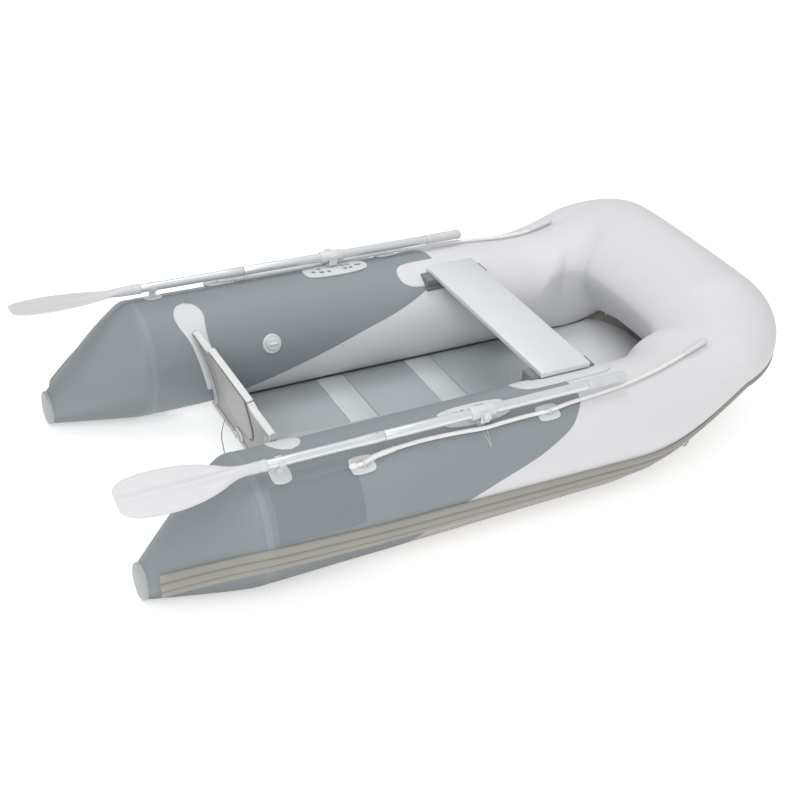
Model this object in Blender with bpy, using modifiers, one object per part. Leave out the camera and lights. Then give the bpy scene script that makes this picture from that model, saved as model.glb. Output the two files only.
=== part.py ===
"""Small rowing and motor inflatable dinghy.

Frame: X forward to the bow, Y to port, Z up, metres. Z = 0 is the ground
under the side tubes. Every piece is its own closed body.
"""
import math

import bmesh
import bpy
from mathutils import Matrix, Vector

for ob in list(bpy.data.objects):
    bpy.data.objects.remove(ob, do_unlink=True)

# ---------------------------------------------------------------- dimensions
GAP = 0.0006            # clearance between glued or seated pieces
TUBE_R = 0.190          # side tube radius
TUBE_Y = 0.437          # side tube centre from the middle plane
X_CAP = -1.133          # aft end of the stern cone
X_CONE = -0.855         # start of the stern cone
CAP_R = 0.052           # end cap radius
CAP_LIFT = 0.015        # rise of the cone's underside at its tip
X_SHEER = 0.405         # start of the bow rise
SHEER_END = 0.040       # path length past the corner where the rise ends
X_TURN = 0.868          # start of the bow corner
TURN_R = 0.132          # plan radius of the bow corner
BOW_RISE = 0.248        # rise of the tube centre at the bow
BOW_A = 0.124           # bow half thickness
BOW_UP = 0.102          # bow half height above its centre
X_LIFT = 0.505          # start of the underside's rise
BOW_LIFT = 0.262        # rise of the underside at the bow
BOW_BULGE = 0.008       # forward bulge of the bow at the middle
BOW_FLAT = 0.25         # easing of the outer lower bow quarter
FLAT_X, FLAT_L = 0.350, 0.400     # where that easing starts, and over what length
BOW_RAKE = 0.048        # how far the bow's lower half lies aft of its upper half
IN_X, IN_Y, IN_R = 0.765, 0.240, 0.050   # cockpit's forward wall, side and corner radius
BOW_FULL = 0.05         # fullness of the inner lower bow quarter
BOW_KEEL = 0.275        # how much deeper the inner lower bow quarter reaches
KEEL_MID = 0.17         # the same at the middle of the bow
BOW_LEAN = 0.165        # how far the cockpit's forward wall slopes forward toward its foot
BOW_DROP = 0.085        # how far the bow's inner side sits below its outer side
RING_N = 28             # points round a tube section
SPLIT = [(-0.860, -0.02), (-0.5225, 0.10), (-0.337, 0.167), (-0.100, 0.2455),
         (0.0375, 0.282), (0.1265, 0.312), (0.1735, 0.329), (0.2135, 0.354),
         (0.2465, 0.372), (0.2525, 0.42)]   # dark and light tube boundary, side view

STRAKE_W = 0.068        # rubbing strake width
FLOOR_Z = 0.040         # top of the floor slats
SLAT_T = 0.0165
FLOOR_W = 0.313
JOINTS = (-0.134, 0.218, 0.570)   # floor slat joints
STRIP_W = 0.106

TR_X, TR_Z = -0.700, 0.335        # a point on the transom's aft face
TR_RAKE = math.radians(15.0)      # transom leans aft at the top
TR_T = 0.018
TR_TOP = 0.345
TR_RAISE = 0.362

SEAT_X0, SEAT_X1 = 0.1905, 0.379
SEAT_Y, SEAT_TOP, SEAT_T = 0.361, 0.389, 0.020

OAR_Y, OAR_Z = 0.493, 0.413
OAR_TIP, OAR_NECK, OAR_JOINT = -1.2162, -0.836, -0.448
OAR_PIN, OAR_GRIP, OAR_END = -0.120, 0.259, 0.4026
SHAFT_LO, SHAFT_UP, GRIP_R = 0.0140, 0.0155, 0.0175
BLADE_TILT = math.radians(12.0)
CLIP_X = -0.763

VALVE_X, VALVE_PHI = -0.439, math.radians(157.5)
ROPE_R = 0.0068
TOW_S = 0.675

BOAT_X = 0.0421         # moves the middle of the length to the origin

# ---------------------------------------------------------------- helpers
col = bpy.data.collections.new("inflatable_dinghy")
bpy.context.scene.collection.children.link(col)
cut = bpy.data.collections.new("cutters")
bpy.context.scene.collection.children.link(cut)
MATS = {}


def mat(name, rgb, rough, metal=0.0):
    m = bpy.data.materials.new(name)
    m.use_nodes = True
    p = m.node_tree.nodes["Principled BSDF"]
    p.inputs["Base Color"].default_value = (*rgb, 1.0)
    p.inputs["Roughness"].default_value = rough
    p.inputs["Metallic"].default_value = metal
    m.diffuse_color = (*rgb, 1.0)
    MATS[name] = m
    return m


mat("dark_fabric", (0.290, 0.318, 0.334), 0.55)
mat("light_fabric", (0.680, 0.680, 0.700), 0.50)
mat("patch_fabric", (0.730, 0.740, 0.750), 0.55)
mat("strake_rubber", (0.430, 0.415, 0.385), 0.60)
mat("cap_plastic", (0.530, 0.545, 0.540), 0.45)
mat("bottom_fabric", (0.400, 0.410, 0.410), 0.60)
mat("floor_board", (0.275, 0.305, 0.320), 0.50)
mat("strip_metal", (0.400, 0.430, 0.440), 0.40, 0.6)
mat("transom_paint", (0.400, 0.400, 0.390), 0.50)
mat("trim_plastic", (0.600, 0.610, 0.610), 0.45)
mat("seat_metal", (0.640, 0.650, 0.665), 0.30, 0.7)
mat("rail_plastic", (0.205, 0.205, 0.215), 0.55)
mat("shaft_metal", (0.620, 0.635, 0.650), 0.25, 0.9)
mat("oar_plastic", (0.760, 0.760, 0.780), 0.40)
mat("grip_plastic", (0.560, 0.570, 0.580), 0.50)
mat("fitting_plastic", (0.640, 0.650, 0.660), 0.42)
mat("rope_fibre", (0.780, 0.780, 0.775), 0.80)
mat("ring_steel", (0.550, 0.550, 0.540), 0.20, 1.0)
mat("valve_plastic", (0.560, 0.580, 0.590), 0.40)


def place(ob, material=None, smooth=True, angle=35.0):
    me = ob.data
    bm = bmesh.new()
    bm.from_mesh(me)
    bmesh.ops.remove_doubles(bm, verts=bm.verts, dist=0.00002)
    bmesh.ops.dissolve_degenerate(bm, edges=bm.edges, dist=0.00002)
    bmesh.ops.recalc_face_normals(bm, faces=bm.faces)
    bm.to_mesh(me)
    bm.free()
    me.materials.clear()
    if material:
        me.materials.append(MATS[material])
    if smooth:
        me.shade_smooth()
        me.set_sharp_from_angle(angle=math.radians(angle))
    return ob


def mesh_object(name, verts, faces, material=None, home=None, smooth=True):
    me = bpy.data.meshes.new(name)
    me.from_pydata([tuple(v) for v in verts], [], faces)
    me.update()
    ob = bpy.data.objects.new(name, me)
    (home or col).objects.link(ob)
    return place(ob, material, smooth)


def loft(name, rings, material=None, home=None, smooth=True):
    """Closed skin through rings of equal point count with flat end faces."""
    n = len(rings[0])
    verts = [p for ring in rings for p in ring]
    faces = []
    for i in range(len(rings) - 1):
        a, b = i * n, (i + 1) * n
        for k in range(n):
            j = (k + 1) % n
            faces.append((a + k, a + j, b + j, b + k))
    faces.append(tuple(range(n)))
    faces.append(tuple(range((len(rings) - 1) * n, len(rings) * n)))
    return mesh_object(name, verts, faces, material, home, smooth)


def bake(ob):
    dg = bpy.context.evaluated_depsgraph_get()
    dg.update()
    me = bpy.data.meshes.new_from_object(ob.evaluated_get(dg))
    old = ob.data
    ob.modifiers.clear()
    if ob.type == 'CURVE':
        new = bpy.data.objects.new(ob.name, me)
        homes = list(ob.users_collection)
        name = ob.name
        new.matrix_world = ob.matrix_world
        bpy.data.objects.remove(ob, do_unlink=True)
        new.name = name
        for h in homes:
            h.objects.link(new)
        return new
    ob.data = me
    if old.users == 0:
        bpy.data.meshes.remove(old)
    return ob


def boolean(ob, tool, op):
    m = ob.modifiers.new("b", 'BOOLEAN')
    m.operation = op
    m.solver = 'EXACT'
    m.object = tool
    name = ob.data.materials[0].name if ob.data.materials else None
    bake(ob)
    tool.hide_render = True
    tool.display_type = 'WIRE'
    return place(ob, name)


def drop(*tools):
    for t in tools:
        bpy.data.objects.remove(t, do_unlink=True)


def frame_to(origin, z_axis, x_hint=(1, 0, 0)):
    z = Vector(z_axis).normalized()
    x = Vector(x_hint)
    if abs(z.dot(x.normalized())) > 0.95:
        x = Vector((0, 1, 0))
    x = (x - z * x.dot(z)).normalized()
    y = z.cross(x)
    m = Matrix((x, y, z)).transposed().to_4x4()
    m.translation = Vector(origin)
    return m


def lathe(name, profile, origin, axis, material=None, steps=24, home=None, closed=False):
    """Turned piece: profile of (radius, height) turned about an axis."""
    me = bpy.data.meshes.new(name)
    edges = [(i, i + 1) for i in range(len(profile) - 1)]
    if closed:
        edges.append((len(profile) - 1, 0))
    me.from_pydata([(r, 0.0, h) for r, h in profile], edges, [])
    ob = bpy.data.objects.new(name, me)
    (home or col).objects.link(ob)
    s = ob.modifiers.new("turn", 'SCREW')
    s.axis = 'Z'
    s.angle = 2 * math.pi
    s.steps = steps
    s.render_steps = steps
    s.use_merge_vertices = True
    s.merge_threshold = 0.00002
    bake(ob)
    ob.data.transform(frame_to(origin, axis))
    return place(ob, material)


def rod(name, r, p0, p1, material=None, steps=20, home=None):
    p0, p1 = Vector(p0), Vector(p1)
    length = (p1 - p0).length
    return lathe(name, [(0, 0), (r, 0), (r, length), (0, length)], p0, p1 - p0,
                 material, steps, home)


def box(name, lo, hi, material=None, bevel=0.0, home=None):
    me = bpy.data.meshes.new(name)
    bm = bmesh.new()
    bmesh.ops.create_cube(bm, size=1.0)
    for v in bm.verts:
        for i in range(3):
            v.co[i] = lo[i] + (v.co[i] + 0.5) * (hi[i] - lo[i])
    bm.to_mesh(me)
    bm.free()
    ob = bpy.data.objects.new(name, me)
    (home or col).objects.link(ob)
    if bevel:
        b = ob.modifiers.new("edge", 'BEVEL')
        b.width = bevel
        b.segments = 2
        b.limit_method = 'ANGLE'
        bake(ob)
    return place(ob, material)


def prism(name, outline, depth, m, material=None, home=None):
    """Outline of (u, v) in a plane, pushed along the plane's normal."""
    n = len(outline)
    verts = [m @ Vector((u, v, 0)) for u, v in outline]
    verts += [m @ Vector((u, v, depth)) for u, v in outline]
    faces = [tuple(range(n)), tuple(range(n, 2 * n))]
    faces += [(k, (k + 1) % n, n + (k + 1) % n, n + k) for k in range(n)]
    return mesh_object(name, verts, faces, material, home)


def cord(name, pts, r, material, cyclic=False):
    cu = bpy.data.curves.new(name, 'CURVE')
    cu.dimensions = '3D'
    cu.bevel_depth = r
    cu.bevel_resolution = 2
    cu.use_fill_caps = not cyclic
    sp = cu.splines.new('POLY')
    sp.points.add(len(pts) - 1)
    for q, p in zip(sp.points, pts):
        q.co = (*p, 1.0)
    sp.use_cyclic_u = cyclic
    ob = bpy.data.objects.new(name, cu)
    col.objects.link(ob)
    return place(bake(ob), material)


def round_line(pts, steps):
    """Smooth line through points (Catmull-Rom)."""
    p = [Vector(q) for q in pts]
    p = [2 * p[0] - p[1]] + p + [2 * p[-1] - p[-2]]
    out = []
    for i in range(1, len(p) - 2):
        for k in range(steps):
            t = k / steps
            a, b, c, d = p[i - 1], p[i], p[i + 1], p[i + 2]
            out.append(0.5 * ((2 * b) + (c - a) * t + (2 * a - 5 * b + 4 * c - d) * t * t
                              + (3 * b - a - 3 * c + d) * t ** 3))
    out.append(p[-2])
    return out


# ---------------------------------------------------------------- hull surface
S_TURN = X_TURN + TURN_R * math.pi / 2
HALF_STRAIGHT = TUBE_Y - TURN_R
S_MID = S_TURN + HALF_STRAIGHT


def clamp(v):
    return min(max(v, 0.0), 1.0)


def ease(v):
    v = clamp(v)
    return v * v * (3 - 2 * v)


def underside(s):
    return BOW_LIFT * ease((s - X_LIFT) / (S_TURN - X_LIFT))


def section(s):
    """Tube at path length s: centre, outward plan direction, outer half width, half
    heights up and down, reach to the inner wall, and the five easings of the bow."""
    ex, ey = IN_X - IN_R, IN_Y - IN_R
    if s <= X_TURN:
        c, n = Vector((s, TUBE_Y, 0)), Vector((0, 1, 0))
        lead = ease((s - X_TURN + 0.32) / 0.32)
        wall = Vector((s + (ex - X_TURN) * lead, TUBE_Y - TUBE_R + (IN_Y - TUBE_Y + TUBE_R) * lead, 0))
    elif s <= S_TURN:
        th = (s - X_TURN) / TURN_R
        n = Vector((math.sin(th), math.cos(th), 0))
        c = Vector((X_TURN, TUBE_Y - TURN_R, 0)) + n * TURN_R
        wall = Vector((ex, ey, 0)) + n * IN_R
    else:
        y = max(HALF_STRAIGHT - (s - S_TURN), 0.0)
        w = (y / HALF_STRAIGHT) ** 2
        c = Vector((X_TURN + TURN_R + BOW_BULGE * (1 - w), y, 0))
        n = Vector((1, 2 * BOW_BULGE * y / HALF_STRAIGHT ** 2, 0)).normalized()
        wall = Vector((IN_X + 0.6 * BOW_BULGE * (1 - w), y * ey / HALF_STRAIGHT, 0))
    if s < X_CONE:
        f = min((X_CONE - s) / (X_CONE - X_CAP), 1.0)
        r = TUBE_R - (TUBE_R - CAP_R) * f ** 1.18
        c.z = r + CAP_LIFT * f
        return c, n, r, r, r, -n * r, 0.0, 0.0, 0.0, 0.0, 0.0
    t = clamp((s - X_SHEER) / (S_TURN + SHEER_END - X_SHEER))
    reach = wall - c
    c.z = TUBE_R + BOW_RISE * t ** 3 * (4 - 3 * t)
    a = TUBE_R - (TUBE_R - BOW_A) * ease(t)
    up = TUBE_R - (TUBE_R - BOW_UP) * ease(t)
    return (c, n, a, up, c.z - underside(s), reach, BOW_FLAT * ease((s - FLAT_X) / FLAT_L),
            BOW_RAKE * ease(t) * (1 - 0.8 * ease((s - S_TURN) / 0.15)), BOW_FULL * ease((s - 0.5) / 0.35),
            (BOW_KEEL - (BOW_KEEL - KEEL_MID) * ease((s - X_TURN) / (S_TURN - X_TURN))) * underside(s) / BOW_LIFT,
            BOW_DROP * ease((s - X_TURN + 0.10) / (S_TURN - X_TURN + 0.10)))


def point(s, phi):
    """Point on the port tube: phi 0 is outboard, 90 degrees up, 180 inboard."""
    c, n, a, up, dn, reach, flat, rake, full, keel, drop_in = section(s)
    co, si = math.cos(phi), math.sin(phi)
    hgt = up if si >= 0 else dn + keel * (1 - (1 - max(-co, 0.0)) ** 2)
    g, back = 1.0, 0.0
    if si < 0:
        g = 1.0 - flat * (2 * co * -si) ** 1.25 if co > 0 else 1.0 + full * (2 * co * si) ** 1.2
        back = rake * (-si) ** 1.2
    side_dir = n * (co * a * g) if co >= 0 else reach * (-co * g)
    lean = BOW_LEAN * n.x * 1.7 * -co * (-si) ** 1.5 if co < 0 and si < 0 else 0.0
    low = drop_in * max(-co, 0.0) ** 1.5
    return c + side_dir - n * back + Vector((lean, 0, si * hgt * g - low))


def normal(s, phi):
    along = point(s + 0.004, phi) - point(s - 0.004, phi)
    around = point(s, phi + 0.02) - point(s, phi - 0.02)
    return around.cross(along).normalized()


def skin(s, phi, off=0.0, side=1):
    p = point(s, phi)
    if off:
        p = p + normal(s, phi) * off
    return Vector((p.x, side * p.y, p.z))


def skin_normal(s, phi, side=1):
    q = normal(s, phi)
    return Vector((q.x, side * q.y, q.z))


CONE_S = [X_CAP + (X_CONE - X_CAP) * f for f in (0, 0.2, 0.4, 0.6, 0.8, 0.93, 1)]
RISE_S = [0.300 + (X_TURN - 0.300) * k / 13 for k in range(14)]
TURN_S = [X_TURN + (S_TURN - X_TURN) * k / 9 for k in range(1, 10)]
FRONT_S = [S_TURN + HALF_STRAIGHT * k / 4 for k in range(1, 5)]
PHIS = [2 * math.pi * k / RING_N for k in range(RING_N)]


def ring(s, side=1, off=0.0):
    return [skin(s, p, off, side) for p in PHIS]


split_lo = SPLIT[0][0] - 0.1
aft_tool = prism("split_aft", [(-1.4, -0.1), (split_lo, -0.1)] + SPLIT + [(0.2525, 0.8), (-1.4, 0.8)],
                 2.0, frame_to((0, 1.0, 0), (0, -1, 0), (1, 0, 0)), home=cut)
aft_wide = prism("split_aft_clear",
                 [(-1.4, -0.1), (split_lo + 0.002, -0.1)] + [(x + 0.002, z) for x, z in SPLIT]
                 + [(0.2545, 0.8), (-1.4, 0.8)],
                 2.0, frame_to((0, 1.0, 0), (0, -1, 0), (1, 0, 0)), home=cut)

for side, tag in ((1, "port"), (-1, "starboard")):
    tube = loft("stern_tube_" + tag, [ring(s, side) for s in CONE_S + [-0.3, 0.3]], "dark_fabric")
    boolean(tube, aft_tool, 'INTERSECT')
    c, n, r = section(X_CAP)[:3]
    lathe("end_cap_" + tag,
          [(0, 0), (CAP_R + 0.001, 0), (CAP_R + 0.001, 0.007), (CAP_R - 0.003, 0.011),
           (CAP_R * 0.62, 0.0145), (0, 0.0160)],
          (X_CAP - GAP, side * TUBE_Y, c.z), (-1, 0, 0), "cap_plastic", 28)

path = [-0.95] + RISE_S + TURN_S + FRONT_S
rings = [ring(s, 1) for s in path]
mirror = [[Vector((p.x, -p.y, p.z)) for p in rg] for rg in rings[:-1]]
bow = loft("bow_tube", rings + mirror[::-1], "light_fabric")
boolean(bow, aft_wide, 'DIFFERENCE')
drop(aft_tool, aft_wide)


# rubbing strake: three ribs on the outer side from cone to cone
def strake_phi(s):
    pts = [(-1.14, 9.0), (-0.98, 6.0), (-0.80, 1.5), (-0.45, -4.0), (0.24, -9.0), (0.6, -13.0), (X_TURN, -15.5), (S_TURN, -27.0), (S_MID, -27.0)]
    for (a, fa), (b, fb) in zip(pts, pts[1:]):
        if s <= b:
            return math.radians(fa + (fb - fa) * max(0.0, (s - a)) / (b - a))
    return math.radians(pts[-1][1])


RIBS = [(-1, 0.0030), (-0.93, 0.0105), (-0.45, 0.0120), (-0.36, 0.0060), (-0.27, 0.0135),
        (0.27, 0.0135), (0.36, 0.0060), (0.45, 0.0120), (0.93, 0.0105), (1, 0.0030)]
BASE = [(1, 0.0016), (0.5, 0.0014), (0, 0.0014), (-0.5, 0.0014), (-1, 0.0016)]


def strake_ring(s, side):
    a, up = section(s)[2:4]
    mid = strake_phi(s)
    half = STRAKE_W / 2 / (0.5 * (a + up))
    return [skin(s, mid + u * half, h, side) for u, h in RIBS + BASE]


spath = [X_CAP + 0.032] + [s for s in CONE_S if s > X_CAP + 0.080] + [-0.6, -0.3, 0.0] + RISE_S + TURN_S + FRONT_S
srings = [strake_ring(s, 1) for s in spath]
smirror = [[Vector((p.x, -p.y, p.z)) for p in rg] for rg in srings[:-1]]
loft("rubbing_strake", srings + smirror[::-1], "strake_rubber")

# ---------------------------------------------------------------- bottom and floor
WALL = [skin(0.25 + 0.006 * i, math.radians(150 + 3 * k)) for i in range(int((S_MID - 0.25) / 0.006) + 1)
        for k in range(51)]


def inner_y(x, z0, z1):
    """How far from the middle plane the tubes' inner wall stands at x, between two heights."""
    near = [p.y for p in WALL if abs(p.x - x) < 0.008 and z0 - 0.006 < p.z < z1 + 0.006]
    return min(near) if near else 1.0


def bottom_z(x):
    return 0.018 + 0.042 * ease((x - 0.66) / 0.26)


BOTTOM_W = ((-0.600, 0.332), (0.360, 0.332), (0.450, 0.332), (0.520, 0.332), (0.570, 0.332), (0.620, 0.331),
            (0.670, 0.329), (0.720, 0.325), (0.770, 0.318), (0.820, 0.312), (0.860, 0.302), (0.900, 0.300), (0.940, 0.300),
            (0.980, 0.294), (1.005, 0.272))
BOTTOM = []
for x, w in BOTTOM_W:
    z = bottom_z(x)
    BOTTOM.append((x, z, min(w, inner_y(x, z, z + 0.004) - 0.003)))


def bottom_at(x):
    for (a, za, wa), (b, zb, wb) in zip(BOTTOM, BOTTOM[1:]):
        if x <= b:
            f = (x - a) / (b - a)
            return za + (zb - za) * f, wa + (wb - wa) * f
    return BOTTOM[-1][1:]


loft("hull_bottom",
     [[Vector((x, -w, z)), Vector((x, w, z)), Vector((x, w, z + 0.004)), Vector((x, -w, z + 0.004))]
      for x, z, w in BOTTOM], "bottom_fabric")
# fabric apron that closes the bow below the tube, ahead of the bottom sheet
APRON = ((0.9990, 0.0655), (1.0200, 0.0720), (1.0350, 0.0880), (1.0430, 0.1120),
         (1.0440, 0.1500), (1.0400, 0.1900), (1.0320, 0.2250), (1.0220, 0.2500))
apron_inn = []
for i, (x, z) in enumerate(APRON):
    p, q = APRON[max(i - 1, 0)], APRON[min(i + 1, len(APRON) - 1)]
    run = Vector((q[0] - p[0], 0, q[1] - p[1])).normalized()
    apron_inn.append((x - run.z * 0.004, z + run.x * 0.004))
apron = []
for k in range(-6, 7):
    y = 0.262 * k / 6
    aft = 0.045 * abs(k / 6) ** 3
    apron.append([Vector((x - aft, y, z)) for x, z in APRON] + [Vector((x - aft, y, z)) for x, z in reversed(apron_inn)])
loft("bow_apron", apron, "bottom_fabric")
slats = [(-0.578, JOINTS[0]), (JOINTS[0], JOINTS[1])]
for k, (a, b) in enumerate(slats):
    box("floor_slat_%d" % (k + 1), (a + 0.0015, -FLOOR_W, FLOOR_Z - SLAT_T), (b - 0.0015, FLOOR_W, FLOOR_Z),
        "floor_board", 0.002)
fwd = []
for x in (JOINTS[2] + 0.0015, 0.62, 0.67, 0.72, 0.77, 0.82, 0.86, 0.90, 0.94, 0.965, 0.985):
    z = bottom_at(x)[0]
    top = z + 0.0220
    w = min(FLOOR_W, inner_y(x, z + 0.0055, top) - 0.003, bottom_at(x)[1] - 0.002)
    w = min(w, 0.270 - 0.120 * (max(x - 0.90, 0.0) / 0.085) ** 1.6) if x > 0.89 else w
    fwd.append([Vector((x, -w, z + 0.0055)), Vector((x, w, z + 0.0055)), Vector((x, w, top)), Vector((x, -w, top))])
loft("floor_slat_forward", fwd, "floor_board")
mid = []
for x in (JOINTS[1] + 0.0015, 0.355, 0.42, 0.48, 0.53, JOINTS[2] - 0.0015):
    z = bottom_at(x)[0]
    w = min(FLOOR_W, inner_y(x, z + 0.0055, z + 0.0220) + 0.002)
    mid.append([Vector((x, -w, z + 0.0055)), Vector((x, w, z + 0.0055)),
                Vector((x, w, z + 0.0220)), Vector((x, -w, z + 0.0220))])
loft("floor_slat_3", mid, "floor_board")
for k, x in enumerate(JOINTS[:2]):
    box("floor_strip_%d" % (k + 1), (x - STRIP_W, -FLOOR_W + 0.004, FLOOR_Z + 0.0004),
        (x - 0.003, FLOOR_W - 0.004, FLOOR_Z + 0.0020), "strip_metal")

# ---------------------------------------------------------------- transom
UPV = Vector((-math.sin(TR_RAKE), 0, math.cos(TR_RAKE)))     # up the board
AFTV = Vector((-math.cos(TR_RAKE), 0, -math.sin(TR_RAKE)))   # out of the aft face
TR_O = Vector((TR_X, 0, TR_Z))


def v_of(z):
    return (z - TR_Z) / math.cos(TR_RAKE)


def tube_y(z, clear):
    r = TUBE_R + clear
    return TUBE_Y - math.sqrt(max(r * r - (z - TUBE_R) ** 2, 0.0))


def board_plane(depth):
    """Plane with u to port, v up the board; depth is measured out of the aft face."""
    m = Matrix((Vector((0, 1, 0)), UPV, Vector((0, 1, 0)).cross(UPV))).transposed().to_4x4()
    m.translation = TR_O + AFTV * depth
    return m


NORMAL = Vector((0, 1, 0)).cross(UPV)      # forward out of the board plane
zs = [0.034 + (TR_TOP - 0.012 - 0.034) * k / 10 for k in range(11)]
right = [(min(tube_y(z, 0.0030), tube_y(z + TR_T * math.sin(TR_RAKE), 0.0030)), v_of(z)) for z in zs]
right += [(right[-1][0] - 0.010, v_of(TR_TOP)), (0.172, v_of(TR_TOP)), (0.150, v_of(TR_RAISE))]
outline = right + [(-u, v) for u, v in reversed(right)]
prism("transom_board", outline, TR_T, board_plane(0.0), "transom_paint")
box_v = v_of(TR_RAISE)
trim = [(-0.148, box_v + GAP), (0.148, box_v + GAP), (0.148, box_v + 0.005), (0.144, box_v + 0.008),
        (-0.144, box_v + 0.008), (-0.148, box_v + 0.005)]
prism("transom_top_trim", trim, TR_T + 0.003, board_plane(0.0015), "trim_plastic")
pad = [(-0.126, v_of(0.357)), (0.126, v_of(0.357)), (0.126, v_of(0.290)), (0.118, v_of(0.235)),
       (0.098, v_of(0.190)), (0.066, v_of(0.160)), (0.0, v_of(0.148)), (-0.066, v_of(0.160)),
       (-0.098, v_of(0.190)), (-0.118, v_of(0.235)), (-0.126, v_of(0.290))]
prism("motor_pad_aft", pad, 0.004, board_plane(0.004 + GAP), "trim_plastic")
pad_f = [(-0.120, v_of(0.220)), (0.120, v_of(0.220)), (0.120, v_of(0.352)), (-0.120, v_of(0.352))]
prism("motor_pad_forward", pad_f, 0.004, board_plane(-TR_T - GAP), "trim_plastic")
fl_o = [(tube_y(z, 0.0045), v_of(z)) for z in zs]
fl_i = [(u - 0.038, v) for u, v in fl_o]
fl_i[0] = (fl_o[0][0] - 0.064, v_of(0.070))
fl_i[1] = (fl_o[1][0] - 0.046, v_of(0.082))
fl_in = [p for p in reversed(fl_i)]
flange = [(u, v) for u, v in fl_o] + fl_in + [(-u, v) for u, v in reversed(fl_in)] + [(-u, v) for u, v in reversed(fl_o)]
prism("transom_flange", flange, 0.0018, board_plane(0.0018 + GAP), "patch_fabric")


def patch(name, side, rows, t0, t1, material, cells=6):
    """Thin plate lying on a tube; rows of (s, phi_low, phi_high) in degrees."""
    rgs = []
    for s, lo, hi in rows:
        ph = [math.radians(lo + (hi - lo) * k / cells) for k in range(cells + 1)]
        rgs.append([skin(s, p, t1, side) for p in ph] + [skin(s, p, t0, side) for p in reversed(ph)])
    return loft(name, rgs, material)


def leaf(x0, x1, mid, half, tip=0.25, n=9, power=0.5):
    """Rows of a rounded leaf; half is in degrees."""
    out = []
    for k in range(n):
        f = k / (n - 1)
        e = math.sin(math.pi * f) ** power
        w = half * (tip + (1 - tip) * e)
        out.append((x0 + (x1 - x0) * (0.5 - 0.5 * math.cos(math.pi * f)), mid - w, mid + w))
    return out


for side, tag in ((1, "port"), (-1, "starboard")):
    patch("transom_patch_" + tag, side,
          [(-0.758, 113, 121), (-0.754, 106, 129), (-0.742, 101, 136), (-0.728, 98.5, 140), (-0.716, 98, 142)],
          0.0009, 0.0030, "patch_fabric")

DR = TR_O + UPV * v_of(0.095) + Vector((0, 0.050, 0)) + AFTV * GAP
lathe("drain_socket", [(0.0125, 0), (0.0240, 0), (0.0240, 0.003), (0.0190, 0.008), (0.0125, 0.008)],
      DR, AFTV, "trim_plastic", 24, closed=True)
lathe("drain_plug", [(0, 0.0006), (0.0120, 0.0006), (0.0120, 0.0086), (0.0170, 0.0086), (0.0170, 0.0125),
                     (0.0060, 0.0135), (0.0050, 0.0200), (0, 0.0200)], DR, AFTV, "fitting_plastic", 20)

# ---------------------------------------------------------------- seat
box("seat_board", (SEAT_X0, -SEAT_Y, SEAT_TOP - SEAT_T), (SEAT_X1, SEAT_Y, SEAT_TOP), "seat_metal", 0.003)
for side, tag in ((1, "port"), (-1, "starboard")):
    patch("seat_patch_" + tag, side,
          [(0.085, 110, 116), (0.091, 104, 122), (0.106, 100, 127), (0.130, 98, 129), (0.400, 98, 129),
           (0.424, 100, 127), (0.438, 104, 122), (0.444, 110, 116)], 0.0009, 0.0028, "patch_fabric")
    y0, y1 = sorted((side * 0.296, side * 0.350))
    rail = box("seat_rail_" + tag, (0.164, y0, 0.326), (0.406, y1, SEAT_TOP - SEAT_T - GAP), "rail_plastic")
    tool = rod("seat_rail_cut", TUBE_R + 0.0036, (-0.1, side * TUBE_Y, TUBE_R), (0.7, side * TUBE_Y, TUBE_R),
               None, 96, cut)
    boolean(rail, tool, 'DIFFERENCE')
    drop(tool)

# ---------------------------------------------------------------- oars and rowlocks
BLADE = [(-0.8365, 0.0320, 0.0320), (-0.870, 0.0330, 0.0300), (-0.905, 0.0520, 0.0240),
         (-0.945, 0.0900, 0.0190), (-0.990, 0.1220, 0.0150), (-1.040, 0.1420, 0.0125),
         (-1.090, 0.1500, 0.0105), (-1.135, 0.1470, 0.0092), (-1.174, 0.1340, 0.0082),
         (-1.199, 0.1120, 0.0074), (-1.211, 0.0880, 0.0066), (OAR_TIP, 0.0640, 0.0058)]


def blade_ring(x, w, h, side):
    c, s = math.cos(BLADE_TILT), math.sin(BLADE_TILT)
    out = []
    n = 20
    flat = min(max((-0.87 - x) / 0.12, 0.0), 1.0)
    for k in range(n):
        a = 2 * math.pi * k / n
        u, v = 0.5 * w * math.cos(a), 0.5 * h * math.sin(a)
        thin = 0.0052 + 0.4 * h * math.exp(-(u / 0.012) ** 2)
        if flat:
            edge = abs(math.cos(a))
            vf = math.copysign(0.5 * thin * (1 - edge ** 6) ** 0.5, math.sin(a)) if abs(math.sin(a)) > 1e-6 else 0.0
            v = v * (1 - flat) + vf * flat
        du, dv = u * c + v * s, -u * s + v * c
        out.append(Vector((x, side * (OAR_Y + du), OAR_Z + dv)))
    return out


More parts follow.
